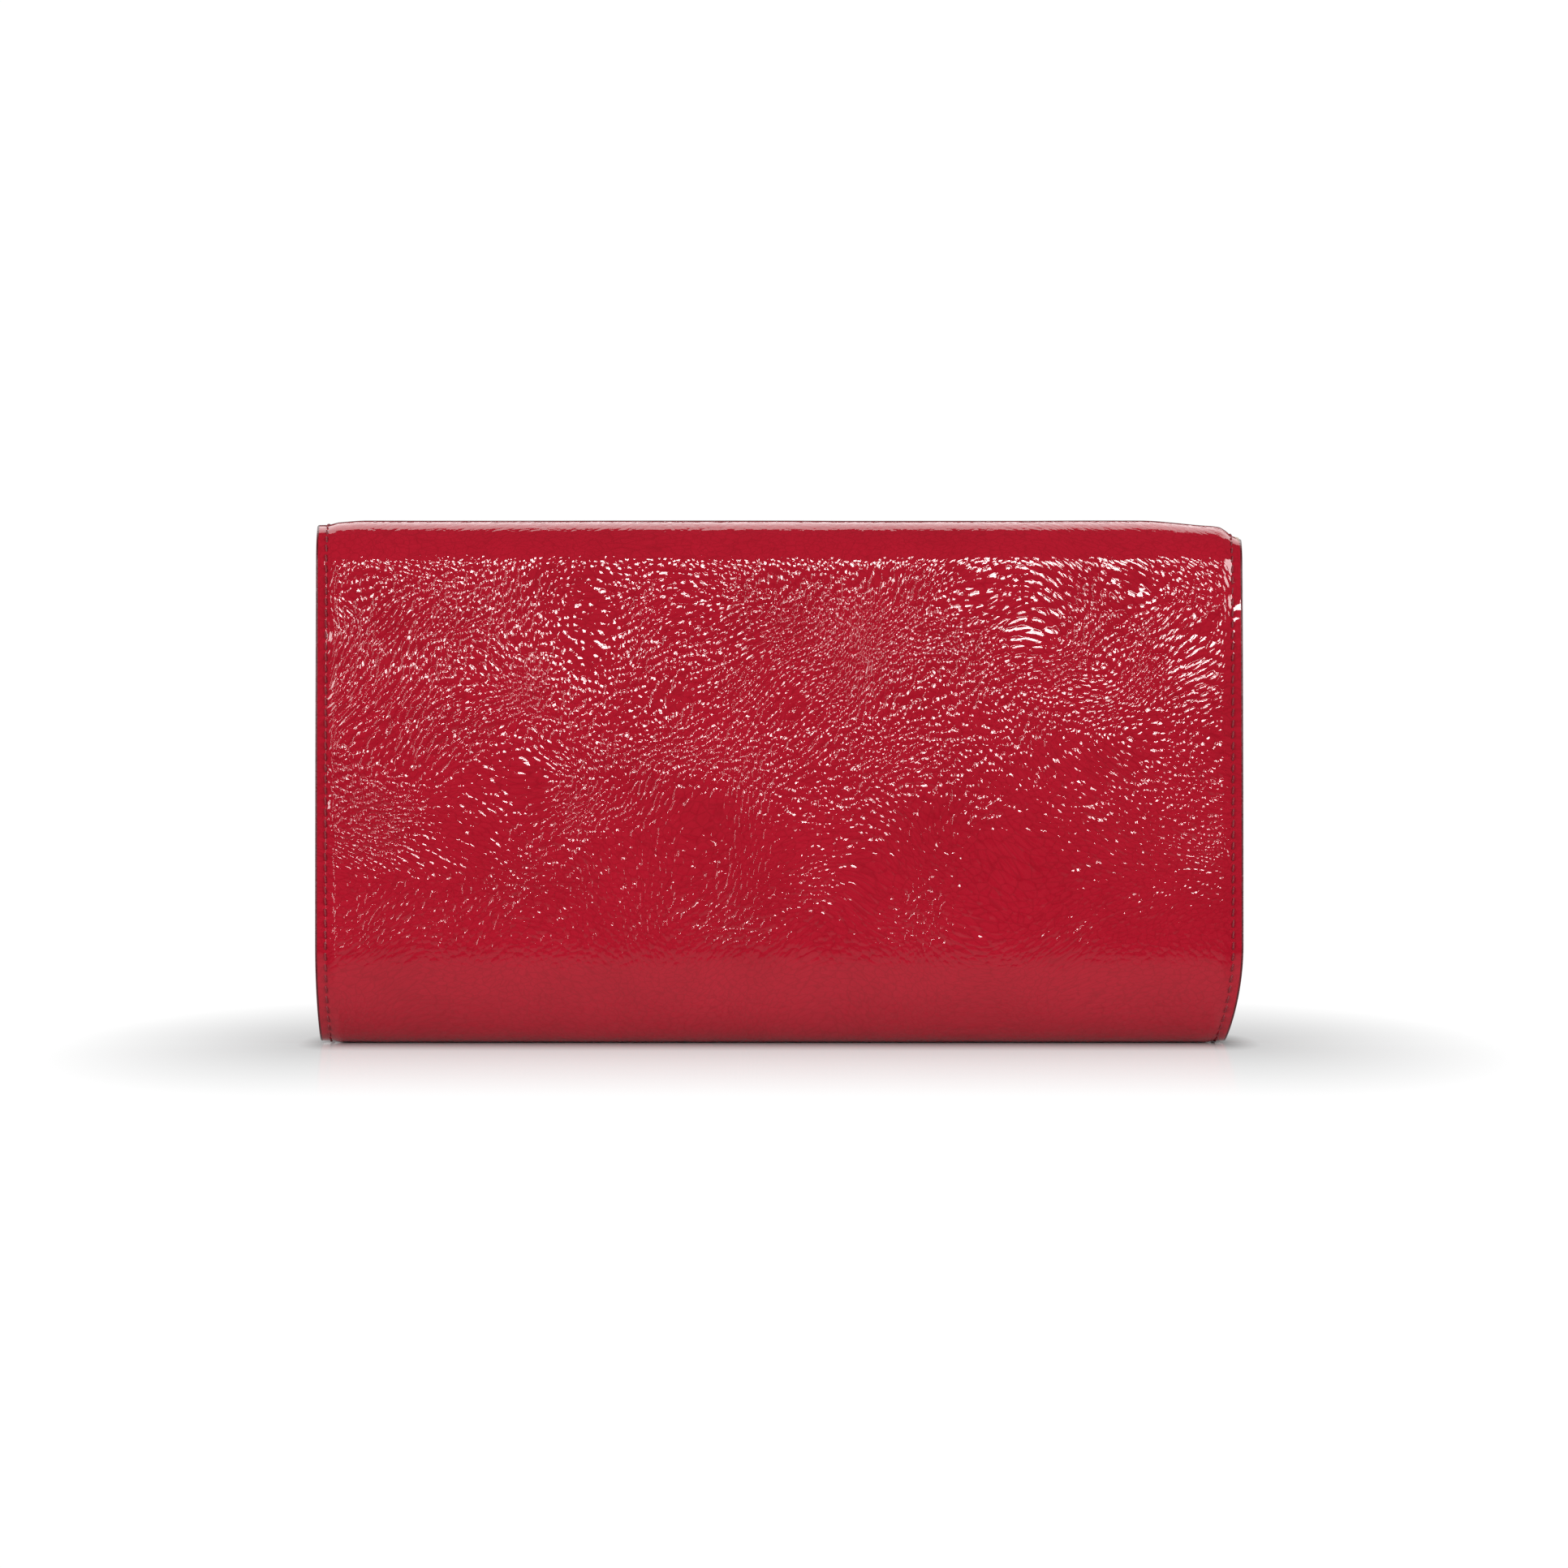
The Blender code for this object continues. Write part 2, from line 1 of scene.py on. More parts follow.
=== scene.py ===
"""The looks of the clutch purse: crinkled patent leather, stitched and painted edges, gussets, linings, a
slip pocket and a magnetic snap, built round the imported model.

Sizes are in metres, and those that have MM behind them are written in millimetres. Places on a sheet laid
flat are plain millimetres: x across it, and s along the side line. So are heights on a sheet.
"""

import math

import bmesh
import bpy
import numpy as np
from mathutils import Matrix, Vector

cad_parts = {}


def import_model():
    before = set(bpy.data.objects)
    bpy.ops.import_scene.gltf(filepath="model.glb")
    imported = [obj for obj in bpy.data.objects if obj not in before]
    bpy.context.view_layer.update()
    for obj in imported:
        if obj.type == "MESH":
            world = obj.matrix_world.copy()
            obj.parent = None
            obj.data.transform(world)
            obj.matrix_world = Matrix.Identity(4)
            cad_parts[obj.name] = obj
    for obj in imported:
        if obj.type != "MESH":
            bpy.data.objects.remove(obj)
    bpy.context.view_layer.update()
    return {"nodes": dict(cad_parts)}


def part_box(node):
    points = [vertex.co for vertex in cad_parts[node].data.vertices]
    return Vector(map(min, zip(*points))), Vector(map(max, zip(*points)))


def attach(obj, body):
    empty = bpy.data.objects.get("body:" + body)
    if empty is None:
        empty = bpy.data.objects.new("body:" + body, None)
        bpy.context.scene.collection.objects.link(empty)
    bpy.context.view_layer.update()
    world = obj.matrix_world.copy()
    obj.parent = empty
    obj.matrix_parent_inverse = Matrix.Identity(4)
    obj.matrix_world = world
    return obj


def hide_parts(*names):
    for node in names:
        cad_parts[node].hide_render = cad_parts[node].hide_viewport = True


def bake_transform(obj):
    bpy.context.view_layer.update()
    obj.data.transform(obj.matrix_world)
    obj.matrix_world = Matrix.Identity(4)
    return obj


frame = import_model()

MM = 0.001

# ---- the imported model's places ----------------------------------------------

BACK_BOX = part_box("back_base_leather")
TOP_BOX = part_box("flap_top_leather")
FLAP_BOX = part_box("flap_front_leather")
WALL_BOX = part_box("front_wall_leather")
POCKET_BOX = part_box("slip_pocket")
TRIM_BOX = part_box("pocket_trim")
SOCKET_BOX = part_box("snap_socket")
STUD_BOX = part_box("snap_stud")

HALF_WIDTH = BACK_BOX[1].x
TOP_Z = TOP_BOX[1].z
BACK_Y = BACK_BOX[0].y
LIP_Y = FLAP_BOX[1].y
LIP_Z = FLAP_BOX[0].z
WALL_TOP_Z = WALL_BOX[1].z
WALL_LOW_Y = WALL_BOX[1].y

# The design's own sizes, which the boxes don't give
FOLD_RADIUS = 12 * MM
BACK_FOLD_Y = -8 * MM
FRONT_FOLD_Y = 6 * MM
FOLD_Z = TOP_Z - FOLD_RADIUS
BASE_BACK_Y = -11 * MM
BASE_FRONT_Y = 7 * MM
BASE_MID_Y = (BASE_BACK_Y + BASE_FRONT_Y) / 2
ROLL_HEIGHT = 27 * MM
WALL_TOP_Y = 13.8 * MM
BACK_BULGE = 1.2 * MM
FRONT_BULGE = 1.0 * MM
FLAP_BULGE = 2.2 * MM
LEATHER = 1.2 * MM
LINING = 0.6 * MM
INSIDE_DEPTH = 3.2 * MM
BASE_TUCK = 1.0 * MM
TOP_PUFF = 1.8 * MM
CORNER_RADIUS = 16 * MM
GUSSET_TOP_Z = 121 * MM
V_DEPTH = 13 * MM
FLANGE_INSET = 0.8 * MM
WALL_X = HALF_WIDTH - BASE_TUCK - FLANGE_INSET - 6.5 * MM
LINING_HALF_WIDTH = 115 * MM
SNAP_Z = (STUD_BOX[0].z + STUD_BOX[1].z) / 2

# Drawing in of the outer leather's bottom corners, seen from behind
RIGHT_TUCK = 4.4 * MM
LEFT_TUCK = 1.0 * MM

# Sewing
STITCH_PITCH = 3.0 * MM
SEAM_INSET = 2.5 * MM

# ---- noise on flat arrays, in millimetres -----------------------------------


def lattice(ix, iy, seed):
    """A fixed pseudo-random number from 0 to 1 for each whole-numbered corner."""
    n = ix.astype(np.int64) * 374761393 + iy.astype(np.int64) * 668265263 + seed * 974634777
    n = (n ^ (n >> 13)) & 0xFFFFFFFF
    n = (n * 1274126177) & 0xFFFFFFFF
    n = (n ^ (n >> 16)) & 0xFFFFFFFF
    return n / 4294967295.0


def smooth_noise(u, v, seed):
    """Value noise from -1 to 1, one cell to a unit."""
    iu, iv = np.floor(u), np.floor(v)
    fu, fv = u - iu, v - iv
    fu, fv = fu * fu * (3 - 2 * fu), fv * fv * (3 - 2 * fv)
    low = lattice(iu, iv, seed) * (1 - fu) + lattice(iu + 1, iv, seed) * fu
    high = lattice(iu, iv + 1, seed) * (1 - fu) + lattice(iu + 1, iv + 1, seed) * fu
    return 2 * (low * (1 - fv) + high * fv) - 1


def cells(u, v, seed):
    """Distances to the nearest and the second nearest of one scattered point a unit cell."""
    iu, iv = np.floor(u), np.floor(v)
    near = np.full(u.shape, 9.0)
    second = np.full(u.shape, 9.0)
    for du in (-1, 0, 1):
        for dv in (-1, 0, 1):
            cu, cv = iu + du, iv + dv
            pu = cu + 0.12 + 0.76 * lattice(cu, cv, seed)
            pv = cv + 0.12 + 0.76 * lattice(cu, cv, seed + 50)
            gap = np.hypot(pu - u, pv - v)
            second = np.minimum(second, np.maximum(near, gap))
            near = np.minimum(near, gap)
    return near, second


def ramp(value, low, high):
    t = np.clip((value - low) / (high - low), 0, 1)
    return t * t * (3 - 2 * t)


def grain_space(x, s):
    """Places on the leather, in mm, pushed about so that its grain flows in swirls."""
    swirl_x = 11 * smooth_noise(x / 52 + 3.1, s / 40, 1) + 3.2 * smooth_noise(x / 15, s / 13, 2)
    swirl_s = 12 * smooth_noise(x / 46 + 7.7, s / 50, 3) + 2.6 * smooth_noise(x / 14, s / 16, 4)
    return x + swirl_x, s + swirl_s


def crinkle(x, s, strength):
    """Height of the crinkled finish in mm: puffed cells between fine creases, in loose drifts."""
    gx, gs = grain_space(x, s)
    near, second = cells(gx / 1.9, gs / 1.5, 11)
    cell = ramp(second - near, 0.0, 0.5)
    near_b, second_b = cells(gx / 5.2 + 4.2, gs / 3.4, 12)
    puff = ramp(second_b - near_b, 0.0, 0.6)
    crease = 1 - np.abs(smooth_noise(gx / 7.0, gs / 2.6, 13))
    height = 0.016 * cell + 0.018 * puff + 0.014 * crease**3
    return strength * drift(x, s) * (height - 0.03)


def drift(x, s):
    """How much the film puckers, from 0 to about 1, in drifts. The top fold and the roll are smooth."""
    amount = 0.88 + 0.26 * smooth_noise(x / 31 + 1.7, s / 24, 14) + 0.22 * smooth_noise(x / 9, s / 8, 15)
    from_top = np.abs(s * MM - S_TOP) / MM
    point, _inward = LINE.at(s * MM)
    height = point[..., 1] / MM
    low_down = 0.22 + 0.46 * ramp(height, 17, 30) + 0.32 * ramp(height, 42, 68)
    taut = (0.30 + 0.70 * ramp(from_top, 15, 33)) * low_down
    return np.clip(amount, 0.15, 1.2) * taut


# ---- the side line ----------------------------------------------------------


def arc(center_y, center_z, radius_y, radius_z, start_deg, end_deg):
    angles = np.radians(np.linspace(start_deg, end_deg, 60))
    return np.stack([center_y + radius_y * np.cos(angles), center_z + radius_z * np.sin(angles)], 1)


def bowed(start, end, bulge):
    """A straight stretch, bowed out to its right."""
    start, end = np.array(start), np.array(end)
    run = end - start
    outward = np.array([run[1], -run[0]]) / np.linalg.norm(run)
    t = np.linspace(0, 1, 160)[:, None]
    return start + run * t + outward * bulge * np.sin(np.pi * t)


class SideLine:
    """The outer face seen from the side, by the distance along it: from the flap's lip over the top, down
    the back, under the base and up the front wall."""

    STEP = 0.2 * MM

    def __init__(self, stretches, soften):
        points = np.concatenate(stretches)
        keep = np.r_[True, np.linalg.norm(np.diff(points, axis=0), axis=1) > 1e-7]
        points = points[keep]
        along = np.r_[0, np.cumsum(np.linalg.norm(np.diff(points, axis=0), axis=1))]
        self.length = along[-1]
        self.s = np.linspace(0, self.length, int(self.length / self.STEP) + 1)
        line = np.stack([np.interp(self.s, along, points[:, i]) for i in (0, 1)], 1)
        self.points = self.softened(line, soften)
        tangent = np.gradient(self.points, self.s, axis=0)
        tangent /= np.linalg.norm(tangent, axis=1)[:, None]
        self.inward = np.stack([-tangent[:, 1], tangent[:, 0]], 1)

    def softened(self, line, width):
        """Rounds the small corners between stretches and leaves both ends in place."""
        reach = int(3 * width / self.STEP)
        weights = np.exp(-0.5 * (np.arange(-reach, reach + 1) * self.STEP / width) ** 2)
        weights /= weights.sum()
        before, after = 2 * line[0] - line[reach:0:-1], 2 * line[-1] - line[-2 : -reach - 2 : -1]
        padded = np.concatenate([before, line, after])
        return np.stack([np.convolve(padded[:, i], weights, "valid") for i in (0, 1)], 1)

    def at(self, s):
        """Points and inward normals, as (n, 2) arrays of y and z."""
        point = np.stack([np.interp(s, self.s, self.points[:, i]) for i in (0, 1)], -1)
        inward = np.stack([np.interp(s, self.s, self.inward[:, i]) for i in (0, 1)], -1)
        return point, inward / np.linalg.norm(inward, axis=-1)[..., None]

    def where(self, y, z, low=0.0, high=1.0):
        """The distance along the line of its point nearest to (y, z), between two shares of its length."""
        first, last = int(low * (len(self.s) - 1)), int(high * (len(self.s) - 1)) + 1
        gap = np.hypot(self.points[first:last, 0] - y, self.points[first:last, 1] - z)
        return self.s[first + int(gap.argmin())]


front_roll_width = WALL_LOW_Y - BASE_FRONT_Y
LINE = SideLine(
    [
        bowed((LIP_Y, LIP_Z), (FRONT_FOLD_Y + FOLD_RADIUS, FOLD_Z), FLAP_BULGE),
        arc(FRONT_FOLD_Y, FOLD_Z, FOLD_RADIUS, FOLD_RADIUS, 0, 90),
        arc(BACK_FOLD_Y, FOLD_Z, FOLD_RADIUS, FOLD_RADIUS, 90, 180),
        bowed((BACK_FOLD_Y - FOLD_RADIUS, FOLD_Z), (BACK_Y, ROLL_HEIGHT), BACK_BULGE),
        arc(BASE_BACK_Y, ROLL_HEIGHT, BASE_BACK_Y - BACK_Y, ROLL_HEIGHT, 180, 270),
        arc(BASE_FRONT_Y, ROLL_HEIGHT, front_roll_width, ROLL_HEIGHT, -90, 0),
        bowed((WALL_LOW_Y, ROLL_HEIGHT), (WALL_TOP_Y, WALL_TOP_Z), FRONT_BULGE),
    ],
    soften=1.6 * MM,
)
S_TOP = LINE.where(-1 * MM, TOP_Z, 0, 0.5)
ROW_STEP = STITCH_PITCH / 5
base_rows = round((LINE.where(BASE_MID_Y, 0, 0.4, 0.9) - S_TOP) / ROW_STEP / 3) * 3
S_BASE = S_TOP + base_rows * ROW_STEP
S_MOUTH_BACK = LINE.where(BACK_FOLD_Y - FOLD_RADIUS, GUSSET_TOP_Z, 0.25, 0.5)
S_MOUTH_FRONT = LINE.where(WALL_TOP_Y, GUSSET_TOP_Z, 0.7, 1)


def tucked_width(x, s):
    """Half the width of the outer panel, in mm: the bottom corners are tucked in, the +X one more."""
    point, _inward = LINE.at(s * MM)
    rise = np.clip(point[..., 1] / ROLL_HEIGHT, 0, 1)
    under = (s * MM > S_TOP) & (s * MM < S_MOUTH_FRONT)
    tuck = np.where(x > 0, RIGHT_TUCK, LEFT_TUCK) / MM
    return HALF_WIDTH / MM - np.where(under, tuck * (1 - rise) ** 2, 0)


def body_shape(x, s):
    """Slow unevenness of the shell, outwards: a puffed top, drooping top corners and shallow waves."""
    point, _inward = LINE.at(s * MM)
    height = point[..., 1] / MM
    on_top = np.exp(-(((s * MM - S_TOP) / (21 * MM)) ** 2))
    droop = 1.6 * ramp(x, 98, 120) + 3.6 * ramp(x, 116, 125.5) ** 2 + 0.8 * ramp(-x, 112, 125)
    wave = 0.18 * smooth_noise(x / 62 + 0.4, s / 47, 21) + 0.06 * smooth_noise(x / 21, s / 24, 22)
    off_floor = ramp(height, 6, 30)
    return (TOP_PUFF / MM - droop) * on_top + wave * off_floor


# ---- sheets that follow the side line ---------------------------------------


def column_places(edge_step, edge_count, middle_step):
    """Places across a sheet, closer near the side edges. An edge_count in threes keeps the gaps in threes."""
    edge = edge_step * edge_count
    half = HALF_WIDTH / MM
    middle = int(round(2 * (half - edge) / middle_step / 3)) * 3
    inner = np.linspace(-(half - edge), half - edge, middle + 1)
    from_edge = edge_step * np.arange(edge_count)
    return np.r_[-half + from_edge, inner, half - from_edge[::-1]]


def row_places(s_low, s_high, step, lip=0.0):
    """Places along a sheet, its rows crowded towards a rounded lip. The number of gaps divides by three."""
    low, high, radius = s_low / MM, s_high / MM, lip / MM
    count = int(round((high - low - radius) / step / 3)) * 3
    rows = np.linspace(low + radius, high, count + 1)
    if lip:
        rows = np.r_[low + radius * (1 - np.cos(np.linspace(0, math.pi / 2, 25)))[:-1], rows]
    return rows


class Outline:
    """The edge of a sheet on the flat: its ends along s, which of them are cut edges, and a rounded lip."""

    def __init__(self, width_at, s_low, s_high, lip=0.0, low_edge=False, high_edge=False):
        self.width_at = width_at
        self.s_low = s_low / MM
        self.s_high = s_high / MM
        self.lip = lip / MM
        self.low_edge = low_edge
        self.high_edge = high_edge

    def half_width(self, x, s):
        width = self.width_at(x, s)
        short = np.clip(self.lip - (s - self.s_low), 0, self.lip)
        return width - self.lip + np.sqrt(self.lip**2 - short**2)

    def from_corner(self, x, s):
        """Offsets from the middle of the rounded corner, outwards and down."""
        return np.abs(x) - (self.width_at(x, s) - self.lip), self.lip - (s - self.s_low)

    def inset(self, x, s):
        """Distance from the nearest cut edge."""
        inset = self.width_at(x, s) - np.abs(x)
        if self.low_edge:
            inset = np.minimum(inset, s - self.s_low)
        if self.high_edge:
            inset = np.minimum(inset, self.s_high - s)
        if self.lip:
            out, down = self.from_corner(x, s)
            inset = np.where((out > 0) & (down > 0), self.lip - np.hypot(out, down), inset)
        return inset

    def outward(self, x, s, on_side):
        """Unit direction out of the sheet at its border, as (across, along)."""
        low_end = ~on_side & (s < (self.s_low + self.s_high) / 2)
        high_end = ~on_side & ~low_end
        across = np.where(on_side, np.sign(x), 0.0)
        along = np.where(low_end & self.low_edge, -1.0, 0.0) + np.where(high_end & self.high_edge, 1.0, 0.0)
        if self.lip:
            out, down = self.from_corner(x, s)
            corner = (out > -1e-6) & (down > 0)
            across = np.where(corner, np.sign(x) * np.maximum(out, 0) / self.lip, across)
            along = np.where(corner, -down / self.lip, along)
        return across, along


def sheet_mesh(name, columns, rows, outline, thickness, height, depth=0.0, facing=1, bead=0.26, looks=()):
    """A closed sheet: a fine outer face, a beaded rim, and an inner face of every third point.

    height(x, s, inset) lifts the outer face. depth is how far inside the side line that face lies. facing is
    -1 for a sheet whose fine face looks into the purse. looks are the materials of the face, rim and inner face.
    """
    if facing < 0:
        columns = columns[::-1]
    n, m = len(rows) - 1, len(columns) - 1
    s = np.repeat(rows[:, None], m + 1, 1)
    nominal = np.repeat(columns[None, :], n + 1, 0)
    x = nominal * outline.half_width(nominal, s) / (HALF_WIDTH / MM)
    inset = outline.inset(x, s)
    point, inward = LINE.at(s * MM)
    out = -inward * facing
    tangent = np.stack([inward[..., 1], -inward[..., 0]], -1)
    move = (height(x, s, inset) * MM)[..., None] * out + depth * MM * inward
    outer = np.stack([x * MM, point[..., 0] + move[..., 0], point[..., 1] + move[..., 1]], -1)
    loop = [(i, 0) for i in range(n)] + [(n, j) for j in range(m)]
    loop += [(i, m) for i in range(n, 0, -1)] + [(0, j) for j in range(m, 0, -1)]
    loop = np.array(loop)
    at = (loop[:, 0], loop[:, 1])
    on_side = (loop[:, 1] == 0) | (loop[:, 1] == m)
    across, along = outline.outward(x[at], s[at], on_side)
    border = outer[at]
    tangent_3d = np.stack([np.zeros(len(loop)), tangent[at][:, 0], tangent[at][:, 1]], -1)
    sideways = across[:, None] * np.array([1.0, 0, 0]) + along[:, None] * tangent_3d
    down = -np.stack([np.zeros(len(loop)), out[at][:, 0], out[at][:, 1]], -1)
    soft = min(0.36, 0.4 * thickness)
    rim_steps = [(0.62, 0.17 * soft), (0.93, 0.47 * soft), (1.0, soft)]
    rim_steps += [(share, thickness - lower) for share, lower in reversed(rim_steps)] + [(0.0, thickness)]
    rims = [border + (sideways * share * bead + down * lower) * MM for share, lower in rim_steps]
    inner_lift = height(x[::3, ::3], s[::3, ::3], inset[::3, ::3], plain=True) - thickness
    inner_move = (inner_lift * MM)[..., None] * out[::3, ::3] + depth * MM * inward[::3, ::3]
    inner_point = point[::3, ::3] + inner_move
    inner = np.stack([x[::3, ::3] * MM, inner_point[..., 0], inner_point[..., 1]], -1)

    outer_id = np.arange((n + 1) * (m + 1)).reshape(n + 1, m + 1)
    start = outer_id.size
    loop_id = [outer_id[at]] + [start + k * len(loop) + np.arange(len(loop)) for k in range(len(rims))]
    inner_start = start + len(rims) * len(loop)
    inner_id = inner_start + np.arange(inner.shape[0] * inner.shape[1]).reshape(inner.shape[:2])
    last = {(int(i), int(j)): int(loop_id[-1][k]) for k, (i, j) in enumerate(loop)}

    quads = np.stack([outer_id[:-1, :-1], outer_id[1:, :-1], outer_id[1:, 1:], outer_id[:-1, 1:]], -1)
    faces = quads.reshape(-1, 4).tolist()
    edge_faces = (inset[:-1, :-1] + inset[1:, 1:]).reshape(-1) / 2 < 0.32
    kinds = np.where(edge_faces, 1, 0).tolist()
    for a, b in zip(loop_id, loop_id[1:]):
        ring = np.stack([np.roll(a, -1), a, b, np.roll(b, -1)], -1)
        faces += ring.tolist()
        kinds += [1] * len(ring)

    def side_points(i0, j0, i1, j1):
        on_border = (i0 == i1 and i0 in (0, n)) or (j0 == j1 and j0 in (0, m))
        stops = 3 if on_border else 1
        found = []
        for k in range(stops):
            i = i0 + (i1 - i0) * k // stops
            j = j0 + (j1 - j0) * k // stops
            border_here = i in (0, n) or j in (0, m)
            found.append(last[(i, j)] if border_here else int(inner_id[i // 3, j // 3]))
        return found

    for i in range(0, n, 3):
        for j in range(0, m, 3):
            corners = [(i, j), (i, j + 3), (i + 3, j + 3), (i + 3, j)]
            polygon = []
            for a, b in zip(corners, corners[1:] + corners[:1]):
                polygon += side_points(*a, *b)
            faces.append(polygon)
            kinds.append(2)

    verts = np.concatenate([outer.reshape(-1, 3)] + rims + [inner.reshape(-1, 3)])
    verts[:, 2] = np.maximum(verts[:, 2], 0)  # nothing reaches below the floor
    used = np.zeros(len(verts), bool)
    for face in faces:
        used[face] = True
    new_id = np.cumsum(used) - 1
    faces = [new_id[face].tolist() for face in faces]
    made = mesh_object(name, verts[used], faces, looks, kinds)

    def on_points(values):
        on_inner = values[::3, ::3].reshape(-1)
        return np.concatenate([values.reshape(-1)] + [values[at]] * len(rims) + [on_inner])[used]

    store_grain(made, on_points(x), on_points(s), on_points(inset))
    made.data.set_sharp_from_angle(angle=math.radians(55))
    return made


def mesh_object(name, verts, faces, looks, kinds=None):
    mesh = bpy.data.meshes.new(name)
    mesh.from_pydata(np.asarray(verts).tolist(), [], faces)
    for look in looks:
        mesh.materials.append(look)
    if kinds is not None:
        mesh.polygons.foreach_set("material_index", np.array(kinds, np.int32))
    mesh.validate()
    mesh.shade_smooth()
    made = bpy.data.objects.new(name, mesh)
    bpy.context.scene.collection.objects.link(made)
    return made


def store(mesh, name, kind, values):
    attribute = mesh.attributes.new(name, kind, "POINT")
    key = "vector" if kind == "FLOAT_VECTOR" else "value"
    attribute.data.foreach_set(key, np.ascontiguousarray(values, np.float32).ravel())


def store_grain(made, x, s, inset):
    """Stores places that a bend doesn't move, for the materials: on the swirling grain and on the flat."""
    gx, gs = grain_space(x, s)
    zero = np.zeros_like(gx)
    store(made.data, "grain", "FLOAT_VECTOR", np.stack([gx, gs, zero], -1))
    store(made.data, "flat", "FLOAT_VECTOR", np.stack([x, s, zero], -1))
    store(made.data, "pucker", "FLOAT", drift(x, s) * ramp(inset, 1.5, 6.0))


MARGIN_DROP = 0.46
GROOVE_DEPTH = 0.05
HOLE_DEPTH = 0.08
PUCKER_HEIGHT = 0.014


def leather_height(x, s, inset, plain=False):
    """The patent leather's face: the shell's shape, a sunken margin, the seam, its holes and the crinkle."""
    lift = body_shape(x, s) - MARGIN_DROP * (1 - ramp(inset, 2.3, 5.6)) - snap_dent(x, s)
    if plain:
        return lift
    seam = SEAM_INSET / MM
    groove = -GROOVE_DEPTH * np.exp(-(((inset - seam) / 0.60) ** 2))
    phase = np.mod((s - S_TOP / MM) / (STITCH_PITCH / MM), 1.0)
    from_hole = np.minimum(phase, 1 - phase) * STITCH_PITCH / MM
    side_seam = np.abs(x) > HALF_WIDTH / MM - 8
    hole = np.where(side_seam, np.exp(-((from_hole / 0.42) ** 2) - ((inset - seam) / 0.40) ** 2), 0)
    pucker = PUCKER_HEIGHT * np.sin(2 * np.pi * phase) * np.exp(-(((inset - seam) / 2.2) ** 2))
    sewn = lift + groove - HOLE_DEPTH * hole + np.where(side_seam, pucker, 0)
    return sewn + crinkle(x, s, ramp(inset, 0.2, 5.0)) + folds(x, s)


def snap_dent(x, s):
    """How far the snap's cup presses the front wall's leather in."""
    point, _inward = LINE.at(s * MM)
    away = np.hypot(x, (point[..., 1] - SNAP_Z) / MM)
    return 1.1 * (1 - ramp(away, 4.5, 6.5)) * (s * MM > S_BASE)


def folds(x, s):
    """Single creases of the back: a pucker at one top corner and a few thin upright ones."""
    total = np.zeros_like(x)
    for (x_a, z_a), (x_b, z_b), half_width, height in BACK_CREASES:
        s_a, s_b = back_place(z_a), back_place(z_b)
        run_x, run_s = x_b - x_a, s_b - s_a
        share = np.clip(((x - x_a) * run_x + (s - s_a) * run_s) / (run_x**2 + run_s**2), 0, 1)
        wander = 0.8 * smooth_noise(share * 5, np.full_like(share, x_a), 31)
        aside = np.hypot(x - x_a - share * run_x + wander, s - s_a - share * run_s)
        total += height * np.exp(-((aside / half_width) ** 2)) * np.sin(np.pi * (0.08 + 0.84 * share))
    return total


def back_place(z):
    """The place along the side line of a height on the back."""
    return LINE.where(BACK_Y, z * MM, 0.25, 0.7) / MM


# Each crease's ends as (across, up), its half width and its height
BACK_CREASES = [
    ((124.0, 124.0), (112.0, 112.5), 1.3, 0.42),
    ((-91.0, 98.0), (-88.0, 60.0), 0.45, 0.10),
    ((-93.5, 84.0), (-92.0, 49.0), 0.40, 0.08),
    ((-86.0, 74.0), (-81.0, 52.0), 0.45, 0.07),
    ((-64.0, 108.0), (-60.0, 80.0), 0.50, 0.07),
]


# ---- materials ---------------------------------------------------------------


